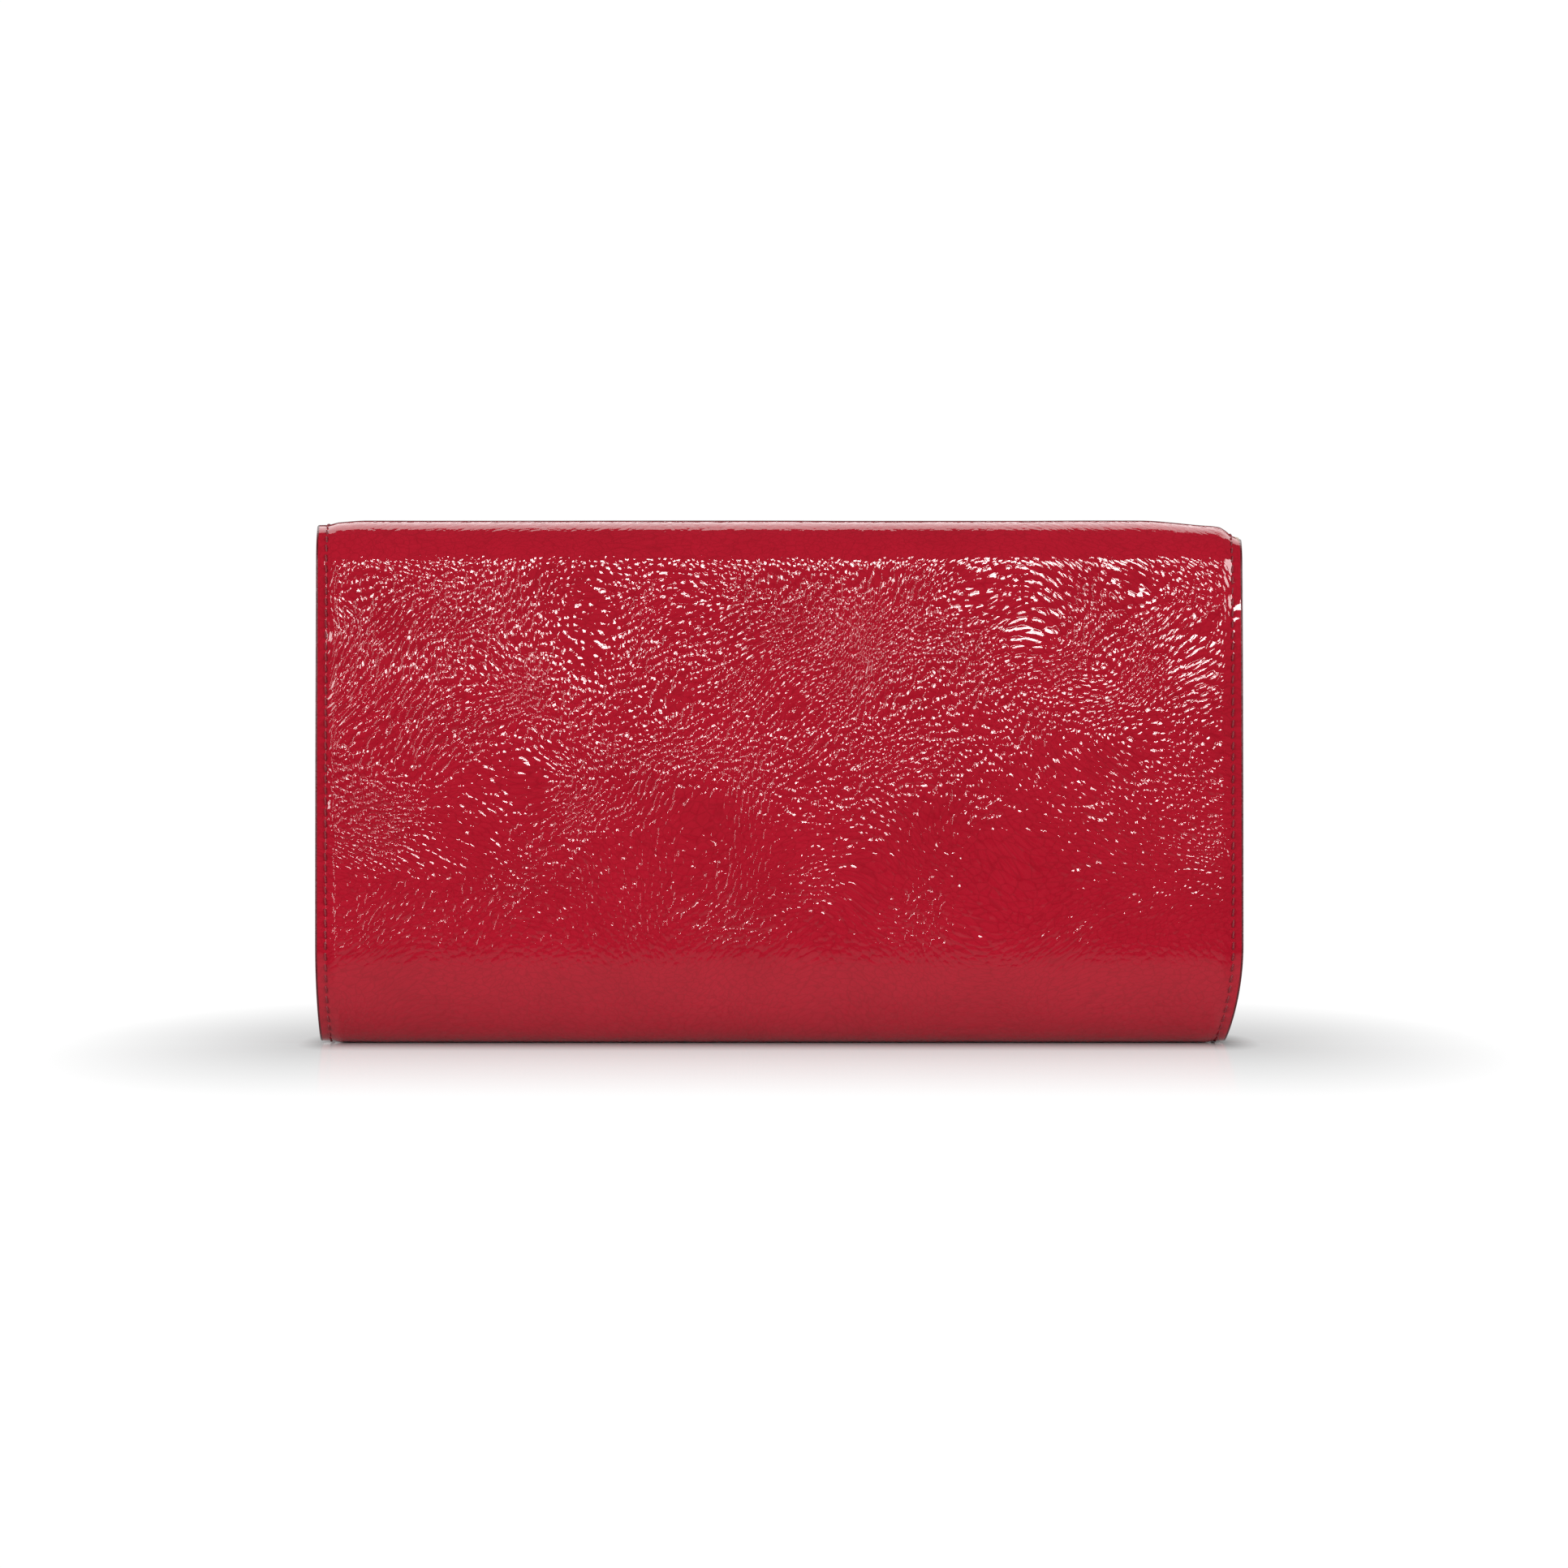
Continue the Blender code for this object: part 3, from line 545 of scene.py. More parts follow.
class Look:
    """A node material, with short ways to add and wire its nodes."""

    def __init__(self, name):
        self.material = bpy.data.materials.new(name)
        self.material.use_nodes = True
        self.tree = self.material.node_tree
        self.shader = self.tree.nodes["Principled BSDF"]

    def node(self, kind, output=0, inputs=None, **settings):
        made = self.tree.nodes.new(kind)
        for key, value in settings.items():
            setattr(made, key, value)
        for key, value in (inputs or {}).items():
            self.feed(made.inputs[key], value)
        return made.outputs[output]

    def feed(self, socket, value):
        if isinstance(value, bpy.types.NodeSocket):
            self.tree.links.new(value, socket)
        else:
            socket.default_value = value

    def set(self, **values):
        """Sets or wires the shader's sockets by their short names."""
        for key, value in values.items():
            self.feed(self.shader.inputs[SOCKETS[key]], value)

    def place(self, name):
        """A stored point attribute, which doesn't move when the piece bends."""
        return self.node("ShaderNodeAttribute", "Vector", attribute_name=name)

    def number(self, name):
        return self.node("ShaderNodeAttribute", "Fac", attribute_name=name)

    def stretched(self, place, across, along, up=1.0):
        return self.node("ShaderNodeMapping", 0, {"Vector": place, "Scale": (across, along, up)})

    def noise(self, place, scale, detail=3.0, rough=0.5):
        inputs = {"Vector": place, "Scale": scale, "Detail": detail, "Roughness": rough}
        return self.node("ShaderNodeTexNoise", "Fac", inputs)

    def wave(self, place, scale, distortion=0.0, direction="DIAGONAL"):
        inputs = {"Vector": place, "Scale": scale, "Distortion": distortion}
        return self.node("ShaderNodeTexWave", "Fac", inputs, bands_direction=direction)

    def creases(self, place):
        """Distance to the nearest crease between cells."""
        inputs = {"Vector": place, "Scale": 1.0}
        return self.node("ShaderNodeTexVoronoi", "Distance", inputs, feature="DISTANCE_TO_EDGE")

    def domes(self, place):
        """A rounded dome in each of the scattered cells."""
        inputs = {"Vector": place, "Scale": 1.0, "Smoothness": 0.18}
        near = self.node("ShaderNodeTexVoronoi", "Distance", inputs, feature="SMOOTH_F1")
        return self.maths("SUBTRACT", 1.0, self.maths("MULTIPLY", near, near))

    def spread(self, value, low, high, to_low=0.0, to_high=1.0):
        inputs = {"Value": value, "From Min": low, "From Max": high, "To Min": to_low, "To Max": to_high}
        return self.node("ShaderNodeMapRange", "Result", inputs)

    def maths(self, operation, a, b):
        return self.node("ShaderNodeMath", 0, {0: a, 1: b}, operation=operation)

    def vectors(self, operation, a, b=(0, 0, 0)):
        return self.node("ShaderNodeVectorMath", 0, {0: a, 1: b}, operation=operation)

    def blend(self, share, a, b):
        """A colour between a and b. The mix node's colour sockets are inputs 6 and 7 and output 2."""
        return self.node("ShaderNodeMix", 2, {"Factor": share, 6: a, 7: b}, data_type="RGBA")

    def bump(self, height, distance, strength=1.0):
        inputs = {"Height": height, "Distance": distance, "Strength": strength}
        return self.node("ShaderNodeBump", "Normal", inputs)

    def finish(self, color, rough, height, distance, strength, **others):
        """Sets the shader from a colour, a value with its roughness range, and a bump height."""
        low_rough, high_rough = rough[1:]
        roughness = self.spread(rough[0], 0.3, 0.7, low_rough, high_rough)
        self.set(color=color, rough=roughness, normal=self.bump(height, distance, strength), **others)
        return self.material


SOCKETS = {
    "color": "Base Color",
    "rough": "Roughness",
    "metal": "Metallic",
    "normal": "Normal",
    "specular": "Specular IOR Level",
    "coat": "Coat Weight",
    "coat_rough": "Coat Roughness",
    "coat_ior": "Coat IOR",
    "coat_normal": "Coat Normal",
    "sheen": "Sheen Weight",
    "sheen_rough": "Sheen Roughness",
}


def linear(red, green, blue, alpha=1.0):
    """A screen colour, 0 to 255, as the linear values that shaders take."""
    def straight(value):
        value /= 255
        return value / 12.92 if value <= 0.04045 else ((value + 0.055) / 1.055) ** 2.4
    return (straight(red), straight(green), straight(blue), alpha)


def patent_look():
    """Red patent leather: dyed leather under a clear film that is puckered into small domes, in drifts, with
    painted shade in the creases between them.
    """
    look = Look("patent_leather_red")
    grain, flat = look.place("grain"), look.place("flat")
    drifts = look.noise(flat, 0.035, 4.0, 0.6)
    mottle = look.noise(grain, 0.55, 4.0, 0.65)
    color = look.blend(look.spread(drifts, 0.3, 0.7), linear(151, 13, 32), linear(162, 17, 37))
    color = look.blend(look.spread(mottle, 0.35, 0.75, 0.0, 0.4), color, linear(170, 22, 43))
    # Painted shade: the colour darkens towards the creases between the cells.
    creases = look.creases(look.stretched(grain, 0.40, 0.72))
    color = look.blend(look.spread(creases, 0.0, 0.10, 0.35, 0.0), color, linear(122, 8, 22))
    domes = look.domes(look.stretched(grain, 0.66, 0.56))
    small = look.domes(look.stretched(grain, 1.9, 1.7))
    height = look.maths("ADD", domes, look.maths("MULTIPLY", small, 0.07))
    height = look.maths("MULTIPLY", height, look.number("pucker"))
    normal = look.bump(height, 0.00034)
    look.set(color=color, rough=look.spread(mottle, 0.3, 0.7, 0.34, 0.46), normal=normal, specular=0.0)
    look.set(coat=1.0, coat_rough=0.03, coat_ior=1.5, coat_normal=normal)
    return look.material


def edge_paint_look():
    """Dark edge paint, slightly lumpy, as brushed on a cut edge."""
    look = Look("edge_paint_maroon")
    flat = look.place("flat")
    lumps = look.noise(flat, 0.9, 3.0, 0.55)
    streaks = look.noise(look.stretched(flat, 3.0, 0.25), 1.0, 3.0)
    color = look.blend(look.spread(streaks, 0.3, 0.7), linear(62, 8, 14), linear(96, 16, 26))
    height = look.maths("ADD", lumps, look.maths("MULTIPLY", streaks, 0.4))
    return look.finish(color, (lumps, 0.24, 0.40), height, 0.00012, 0.8)


def flesh_look():
    """The unfinished back of the leather."""
    look = Look("leather_flesh_side")
    flat = look.place("flat")
    fibres = look.noise(flat, 1.6, 6.0, 0.7)
    clumps = look.noise(flat, 0.25, 3.0)
    color = look.blend(look.spread(fibres, 0.3, 0.7), linear(122, 46, 44), linear(158, 84, 76))
    color = look.blend(look.spread(clumps, 0.3, 0.7, 0.0, 0.35), color, linear(140, 60, 56))
    return look.finish(color, (fibres, 0.8, 0.95), fibres, 0.0002, 0.7)


def thread_look():
    """Waxed thread: two plies twisted together, a shade darker than the leather."""
    look = Look("thread_red")
    flat = look.place("flat")
    plies = look.wave(flat, 1.7, 0.6)
    fuzz = look.noise(flat, 6.0, 3.0)
    # Painted shade: the colour is darker in the grooves between the plies, where the bump sinks.
    color = look.blend(plies, linear(92, 6, 18), linear(138, 14, 34))
    color = look.blend(look.spread(fuzz, 0.4, 0.8, 0.0, 0.3), color, linear(150, 30, 46))
    return look.finish(color, (fuzz, 0.5, 0.65), plies, 0.00005, 0.8)


WEAVE = 0.62


def cloth_look(name, dark, light):
    """A close twill lining with a soft nap."""
    look = Look(name)
    flat = look.place("flat")
    twill = look.wave(flat, WEAVE, 0.3)
    cross = look.wave(flat, WEAVE * 1.25, direction="Y")
    fuzz = look.noise(flat, 2.2, 5.0, 0.7)
    rubbed = look.noise(flat, 0.05, 3.0)
    weft = look.maths("ADD", look.maths("MULTIPLY", twill, 0.6), look.maths("MULTIPLY", cross, 0.3))
    height = look.maths("ADD", weft, look.maths("MULTIPLY", fuzz, 0.5))
    # Painted shade: the colour is darker where the weave and nap lie low and lighter where they stand up.
    color = look.blend(look.spread(height, 0.3, 1.1), dark, light)
    color = look.blend(look.spread(rubbed, 0.4, 0.75, 0.0, 0.25), color, dark)
    shine = {"sheen": 0.35, "sheen_rough": 0.45, "specular": 0.25}
    return look.finish(color, (fuzz, 0.82, 0.95), height, 0.00010, 0.7, **shine)


def metal_look(name, color, brushed=0.18):
    """Plated snap metal with light scuffs and a little tarnish."""
    look = Look(name)
    place = look.node("ShaderNodeTexCoord", "Object")
    scuffs = look.noise(place, 900.0, 4.0, 0.6)
    tarnish = look.noise(place, 160.0, 3.0)
    dull = tuple(value * 0.72 for value in color[:3]) + (1,)
    tint = look.blend(look.spread(tarnish, 0.4, 0.8, 0.0, 0.5), color, dull)
    rough = look.spread(scuffs, 0.3, 0.75, brushed, brushed + 0.14)
    look.set(color=tint, metal=1.0, rough=rough, normal=look.bump(scuffs, 0.00001, 0.5))
    return look.material


def board_look():
    """Grey-brown bonded fibre board."""
    look = Look("fibre_board")
    place = look.node("ShaderNodeTexCoord", "Object")
    fibres = look.noise(look.stretched(place, 900.0, 900.0, 260.0), 1.0, 5.0, 0.7)
    color = look.blend(look.spread(fibres, 0.3, 0.7), linear(140, 128, 108), linear(176, 164, 142))
    return look.finish(color, (fibres, 0.8, 0.95), fibres, 0.0001, 0.6)


PATENT = patent_look()
EDGE_PAINT = edge_paint_look()
FLESH = flesh_look()
THREAD = thread_look()
LINING_CLOTH = cloth_look("lining_twill", linear(150, 118, 98), linear(192, 162, 140))
# Painted shade: the gusset linings get a copy of the lining twill, a little darker throughout.
GUSSET_CLOTH = cloth_look("gusset_lining_twill", linear(142, 110, 92), linear(182, 150, 130))
GOLD = metal_look("snap_gold", (0.83, 0.60, 0.30, 1))
STEEL = metal_look("magnet_steel", (0.42, 0.42, 0.44, 1), 0.30)
BOARD_FIBRE = board_look()

# ---- the outer leather -------------------------------------------------------

# Where the leather and linings would start and stop turning with the next body
BACK_FOLD = {"start": (0, -0.020, 0.122), "end": (0, -0.004, 0.140)}
FRONT_FOLD = {"start": (0, 0.001, 0.140), "end": (0, 0.018, 0.122)}
MOUTH = {"start": (0, 0.006, 0.001), "end": (0, 0.017, 0.016)}
GUSSET_SPREAD = {"start": (0, -0.017, 0), "end": (0, 0.012, 0)}


def even_width(half_width):
    """A sheet's half width, in metres, the same all along it."""
    return lambda _x, s: np.full(np.shape(s), half_width / MM)


def finished(piece, slot, bodies, bend, *stands_for):
    """Bakes the piece's placement into its mesh and hides the CAD parts that it stands for."""
    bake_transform(piece)
    if stands_for:
        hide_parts(*stands_for)
    return piece


def rigid(piece, body, node):
    """Fixes the piece to one body and hides the CAD part that it stands for."""
    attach(piece, body)
    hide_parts(node)


BACK_BODIES = ("purse_body", "flap_top")
FLAP_BODIES = ("flap_top", "flap_front")
FRONT_BODIES = ("purse_body", "front_wall")

BACK_OUTLINE = Outline(tucked_width, S_TOP, S_BASE)
FLAP_OUTLINE = Outline(even_width(HALF_WIDTH), 0, S_TOP, lip=CORNER_RADIUS, low_edge=True)
FRONT_OUTLINE = Outline(tucked_width, S_BASE, LINE.length, high_edge=True)


def outer_leather():
    """The one long panel, made as three sheets that meet on the top and under the base."""
    row_step = ROW_STEP / MM
    for name, columns, rows, outline, bodies, bend, stands_for in [
        ("back_panel_leather", (0.3, 21, 0.52), (S_TOP, S_BASE, row_step), BACK_OUTLINE,
         BACK_BODIES, BACK_FOLD, ("back_base_leather", "flap_top_leather")),
        ("flap_leather", (0.3, 21, 0.72), (0, S_TOP, row_step, CORNER_RADIUS), FLAP_OUTLINE,
         FLAP_BODIES, FRONT_FOLD, ("flap_front_leather",)),
        ("front_wall_panel_leather", (0.5, 12, 1.15), (S_BASE, LINE.length, 0.9), FRONT_OUTLINE,
         FRONT_BODIES, MOUTH, ("front_wall_leather",)),
    ]:
        piece = sheet_mesh(
            name, column_places(*columns), row_places(*rows), outline, LEATHER / MM, leather_height,
            looks=(PATENT, EDGE_PAINT, FLESH),
        )
        finished(piece, "patent_leather", bodies, bend, *stands_for)


# ---- linings -----------------------------------------------------------------


def lining_height(x, s, inset, plain=False):
    """The lining's face, inwards: it follows the shell, meets the leather past the boards, dips at its hem."""
    past_board = ramp(np.abs(x), 115.2, 119.5)
    shape = -0.5 * body_shape(x, s) - past_board - 0.10 * (1 - ramp(inset, 0.0, 3.2))
    if plain:
        return shape
    return shape + (0.05 * smooth_noise(x / 11, s / 14, 41) + 0.03 * smooth_noise(x / 4.3, s / 5.1, 42))


HEM = 0.5 * MM


def back_lining_width(_x, s):
    """Full width over the top, and between the gussets below the mouth."""
    narrow = ramp(s * MM, S_MOUTH_BACK - 9 * MM, S_MOUTH_BACK - 3 * MM)
    wide = (HALF_WIDTH - HEM) / MM
    return wide + (LINING_HALF_WIDTH / MM - wide) * narrow


def linings():
    columns = column_places(0.5, 12, 1.6)
    over_leather, between_gussets = even_width(HALF_WIDTH - HEM), even_width(LINING_HALF_WIDTH)
    flap = Outline(over_leather, HEM, S_TOP, lip=CORNER_RADIUS, low_edge=True)
    back = Outline(back_lining_width, S_TOP, S_BASE)
    front = Outline(between_gussets, S_BASE, LINE.length - 1 * MM, high_edge=True)
    for name, outline, step, bodies, bend, stands_for in [
        ("flap_lining", flap, 1.2, FLAP_BODIES, FRONT_FOLD, ("flap_front_lining",)),
        ("back_lining", back, 1.2, BACK_BODIES, BACK_FOLD, ("back_base_lining", "flap_top_lining")),
        ("front_wall_inner_lining", front, 1.4, FRONT_BODIES, MOUTH, ("front_wall_lining",)),
    ]:
        low, high = outline.s_low * MM, outline.s_high * MM
        rows = row_places(low, high, step, lip=outline.lip * MM)
        piece = sheet_mesh(
            name, columns, rows, outline, LINING / MM, lining_height,
            depth=INSIDE_DEPTH / MM, facing=-1, bead=0.12, looks=(LINING_CLOTH,) * 3,
        )
        across = 2 * MM * np.max(outline.width_at(columns, np.full(len(columns), rows.mean())))
        finished(piece, "lining_cloth", bodies, bend, *stands_for)


# ---- slip pocket -------------------------------------------------------------

POCKET_LOW_PLACE = back_place(POCKET_BOX[0].z / MM)
POCKET_TOP_PLACE = back_place(POCKET_BOX[1].z / MM)
POCKET_HALF_WIDTH = POCKET_BOX[1].x
POCKET_GAPE = 7.6 * MM
POCKET_CLOTH = 0.6 * MM
TRIM_THICKNESS = 0.7 * MM
TRIM_OVERLAP = 0.3 * MM
POCKET_CLEARANCE = 0.3 * MM
TRIM_CLEARANCE = 0.42 * MM


def pocket_height(x, s, inset, plain=False):
    """The pocket stands away from the back towards the middle of its mouth, with a sagging, rippled front.
    plain is the same: the pocket has no finer relief."""
    rise = np.clip((POCKET_LOW_PLACE - s) / (POCKET_LOW_PLACE - POCKET_TOP_PLACE), 0, 1)
    across = np.clip((x * MM / POCKET_HALF_WIDTH + 1) / 2, 0, 1)
    stand = POCKET_GAPE / MM * np.sin(np.pi * across) * np.sin(np.pi / 2 * rise)
    hem = 0.16 * (1 - ramp(inset, 0.5, 3.5)) * (rise < 0.97)
    ripple = 0.25 * rise * np.sin(across * 23 + 1.3 * rise) * np.sin(np.pi * across)
    return stand - hem + ripple


def trim_height(x, s, inset, plain=False):
    """The trim follows the pocket, with a sewn groove and a grain of its own."""
    shape = pocket_height(x, s, np.full_like(x, 9.0))
    if plain:
        return shape
    groove = GROOVE_DEPTH * np.exp(-(((inset - 1.8) / 0.45) ** 2))
    return shape - groove + crinkle(x + 300, s, 0.5 * ramp(inset, 0.3, 2.5))


def slip_pocket():
    low, high = POCKET_TOP_PLACE * MM, POCKET_LOW_PLACE * MM
    trim_low, trim_high = low - TRIM_OVERLAP, low + (TRIM_BOX[1].z - TRIM_BOX[0].z)
    face = INSIDE_DEPTH + POCKET_CLEARANCE + POCKET_CLOTH
    trim_face = face + TRIM_CLEARANCE + TRIM_THICKNESS
    leather = (PATENT, EDGE_PAINT, FLESH)
    for name, columns, ends, step, thickness, height, depth, bead, looks, slot, node in [
        ("slip_pocket_cloth", (0.9, 12, 1.9), (low, high), 1.1, POCKET_CLOTH, pocket_height,
         face, 0.12, (LINING_CLOTH,) * 3, "lining_cloth", "slip_pocket"),
        ("slip_pocket_trim_leather", (0.5, 12, 0.9), (trim_low, trim_high), 0.42, TRIM_THICKNESS, trim_height,
         trim_face, 0.18, leather, "patent_leather", "pocket_trim"),
    ]:
        outline = Outline(even_width(POCKET_HALF_WIDTH), *ends, low_edge=True, high_edge=True)
        piece = sheet_mesh(
            name, column_places(*columns), row_places(*ends, step), outline, thickness / MM, height,
            depth=depth / MM, facing=-1, bead=bead, looks=looks,
        )
        rigid(piece, "purse_body", node)


# ---- gussets -----------------------------------------------------------------

GUSSET_LEATHER = 0.9 * MM
GUSSET_LINING = 0.5 * MM
FLANGE_DEPTH = LEATHER + 0.75 * MM
TURN_RADIUS = 1.1 * MM
LINING_GAP = 0.55 * MM
LINING_OFFSET = 1.5 * MM
GUSSET_ROWS, GUSSET_COLUMNS = 84, 44


def gusset_cage(side, wall_x, depth, flange):
    """Points and faces of one gusset: the V-folded wall, and outside it its turned-out flange, if any."""
    rows, columns = GUSSET_ROWS, GUSSET_COLUMNS
    back_s = np.linspace(S_MOUTH_BACK, LINE.where(BASE_BACK_Y, 0, 0.4, 0.9), rows)
    front_s = np.linspace(S_MOUTH_FRONT, LINE.where(BASE_FRONT_Y, 0, 0.4, 0.9), rows)
    step_in = depth + (TURN_RADIUS if flange else 0)
    ring = []
    for places in (back_s, front_s):
        point, inward = LINE.at(places)
        ring.append(point + inward * step_in)
    share = np.linspace(0, 1, columns)[None, :, None]
    wall = ring[0][:, None] * (1 - share) + ring[1][:, None] * share
    reach = v_fold(share[..., 0], wall[..., 1])
    x = side * (wall_x - reach)
    wall_points = np.concatenate([x[..., None], wall], -1)
    ids = np.arange(rows * columns).reshape(rows, columns)
    points = [wall_points.reshape(-1, 3)]
    faces = np.stack([ids[:-1, :-1], ids[1:, :-1], ids[1:, 1:], ids[:-1, 1:]], -1).reshape(-1, 4).tolist()
    if not flange:
        return np.concatenate(points), faces
    border = np.r_[ids[:, 0], ids[-1, 1:-1], ids[::-1, -1]]
    base_s = np.linspace(back_s[-1], front_s[-1], columns)[1:-1]
    places = np.r_[back_s, base_s, front_s[::-1]]
    point, inward = LINE.at(places)
    edge = tucked_width(np.full(len(places), float(side)), places / MM) * MM - FLANGE_INSET
    turn = np.array([0.4, 0.8, 1.2, math.pi / 2])
    steps = list(zip(TURN_RADIUS * (1 - np.cos(turn)), TURN_RADIUS * (1 - np.sin(turn))))
    last, count = border, rows * columns
    for out, rise in steps + [(None, 0.33), (None, 0.66), (None, 1.0)]:
        if out is None:
            across = wall_x + TURN_RADIUS + (edge - wall_x - TURN_RADIUS) * rise
            inner = point + inward * depth
        else:
            across = np.full(len(places), wall_x + out)
            inner = point + inward * (depth + rise)
        points.append(np.concatenate([side * across[:, None], inner], -1))
        ring_ids = count + np.arange(len(places))
        faces += np.stack([last[:-1], last[1:], ring_ids[1:], ring_ids[:-1]], -1).tolist()
        last, count = ring_ids, count + len(places)
    return np.concatenate(points), faces


def v_fold(share, z):
    """How far the V fold brings the gusset's wall in, softly rounded at its crease and at its sewn edges."""
    rounding = 0.07
    off_middle = np.sqrt((2 * share - 1) ** 2 + rounding**2)
    shape = np.clip(1 - off_middle, 0, 1) / (1 - rounding)
    eased = shape - 0.06 * np.sin(2 * np.pi * shape)
    return V_DEPTH * np.clip(z / GUSSET_TOP_Z, 0, 1.1) * eased


def gusset(side, side_name):
    for name, wall_x, depth, flange, thickness, looks, grain, slot, cad_name in [
        ("leather", WALL_X, FLANGE_DEPTH, True, GUSSET_LEATHER, (PATENT, EDGE_PAINT, FLESH), 0.8,
         "patent_leather", "gusset"),
        ("inner_lining", WALL_X - LINING_OFFSET, INSIDE_DEPTH + LINING_GAP, False, GUSSET_LINING,
         (GUSSET_CLOTH,) * 3, 0.0, "lining_cloth", "gusset_lining"),
    ]:
        points, faces = gusset_cage(side, wall_x, depth, flange)
        piece = gusset_piece(f"gusset_{side_name}_{name}", side, points, faces, thickness, looks, grain)
        stands_for = [f"{cad_name}_{side_name}_{half}" for half in ("rear", "front")]
        finished(piece, slot, FRONT_BODIES, GUSSET_SPREAD, *stands_for)


def gusset_piece(name, side, points, faces, thickness, looks, grain):
    flat_x = points[:, 1] / MM + 400 * side
    flat_s = points[:, 2] / MM
    points = points + np.array([side, 0, 0]) * (crinkle(flat_x, flat_s, grain) * MM)[:, None]
    made = mesh_object(name, points, faces, looks)
    store_grain(made, flat_x, flat_s, np.full(len(points), 9.0))
    outward_faces(made)
    facing_out(made, side)
    solid = made.modifiers.new("thickness", "SOLIDIFY")
    solid.thickness = thickness
    solid.offset = 0
    solid.material_offset = 2
    solid.material_offset_rim = 1
    return made


def facing_out(made, side):
    """Turns the faces so that most of them look away from the purse's middle."""
    mesh = made.data
    total = sum(polygon.normal.x * polygon.area for polygon in mesh.polygons)
    if total * side < 0:
        mesh.flip_normals()


# ---- stitching ---------------------------------------------------------------


def on_face(x, s, lift):
    """Points in space for places on the flat, lifted off the side line."""
    point, inward = LINE.at(s * MM)
    move = -lift[..., None] * inward * MM
    return np.stack([x * MM, point[..., 0] + move[..., 0], point[..., 1] + move[..., 1]], -1)


THREAD_RADIUS = 0.21
STITCH_SLANT = 0.13


def stitch_row(name, path, outline):
    """Stitches along a path on the flat, each a little slanted, with its ends sunk in the holes."""
    path = np.array(path)
    along = np.r_[0, np.cumsum(np.hypot(*np.diff(path, axis=0).T))]
    pitch = STITCH_PITCH / MM
    count = int(along[-1] / pitch)
    rings, sides = 7, 8
    points, faces, flat = [], [], []
    angles = np.arange(sides) * 2 * np.pi / sides
    for k in range(count):
        share = np.linspace(-1, 1, rings)
        where = (k + 0.5 + share * 0.44) * pitch
        mid_x, mid_s = (np.interp(where, along, path[:, i]) for i in (0, 1))
        run = np.array([mid_x[-1] - mid_x[0], mid_s[-1] - mid_s[0]])
        run /= np.hypot(*run)
        side_x, side_s = -run[1], run[0]
        width = THREAD_RADIUS * np.sqrt(np.clip(1.06 - share**4, 0.06, 1))
        rise = 0.16 - 0.42 * share**4
        across = (width[:, None] * np.cos(angles) + (STITCH_SLANT * share)[:, None]) * np.sign(path[0, 0])
        up = rise[:, None] + 0.8 * width[:, None] * np.sin(angles)
        x = mid_x[:, None] + side_x * across
        s = mid_s[:, None] + side_s * across
        start = len(points) * rings * sides
        leather = leather_height(x, s, outline.inset(x, s), plain=True)
        points.append(on_face(x, s, leather - 0.02 + up).reshape(-1, 3))
        flat.append(np.stack([x, s], -1).reshape(-1, 2))
        ids = start + np.arange(rings * sides).reshape(rings, sides)
        nxt = np.roll(ids, -1, 1)
        faces += np.stack([ids[:-1], nxt[:-1], nxt[1:], ids[1:]], -1).reshape(-1, 4).tolist()
        faces += [ids[0][::-1].tolist(), ids[-1].tolist()]
    points, flat = np.concatenate(points), np.concatenate(flat)
    made = mesh_object(name, points, faces, (THREAD,))
    outward_faces(made)
    store_grain(made, flat[:, 0], flat[:, 1], np.full(len(flat), 9.0))
    return made


def outward_faces(made):
    bm = bmesh.new()
    bm.from_mesh(made.data)
    bmesh.ops.recalc_face_normals(bm, faces=bm.faces)
    bm.to_mesh(made.data)
    bm.free()


def side_path(side, s_low, s_high):
    """Down one side edge of the back or of the front wall."""
    s = np.linspace(s_low, s_high, 200)
    x = side * (tucked_width(np.full(200, float(side)), s) - SEAM_INSET / MM)
    return list(zip(x, s))


def flap_path(side):
    """From the top fold down the side edge, round the lip's corner and along the lip to its middle."""
    radius, inset, half = CORNER_RADIUS / MM, SEAM_INSET / MM, HALF_WIDTH / MM
    turn = np.radians(np.linspace(0, 90, 24))
    across = side * (half - radius + (radius - inset) * np.cos(turn))
    along = radius - (radius - inset) * np.sin(turn)
    return [(side * (half - inset), S_TOP / MM)] + list(zip(across, along)) + [(0, inset)]


def stitching():
    top, base, end = S_TOP / MM, S_BASE / MM, LINE.length / MM
    inset = SEAM_INSET / MM
    for side, side_name in ((-1, "left"), (1, "right")):
        front_path = side_path(side, base, end - inset) + [(0, end - inset)]
        for name, path, outline, bodies, bend in [
            ("back", side_path(side, top, base), BACK_OUTLINE, BACK_BODIES, BACK_FOLD),
            ("flap", flap_path(side), FLAP_OUTLINE, FLAP_BODIES, FRONT_FOLD),
            ("front", front_path, FRONT_OUTLINE, FRONT_BODIES, MOUTH),
        ]:
            row = stitch_row(f"stitches_{name}_{side_name}", path, outline)
            finished(row, "patent_leather", bodies, bend)


# ---- magnetic snap -----------------------------------------------------------

SNAP_RADIUS = 9 * MM
SOCKET_THICKNESS = 1.6 * MM
STUD_THICKNESS = 0.8 * MM
POST_LENGTH = 1.1 * MM
POST_RADIUS = 2.4 * MM
RECESS_RADIUS = 3.6 * MM
MAGNET_RADIUS = 7.4 * MM


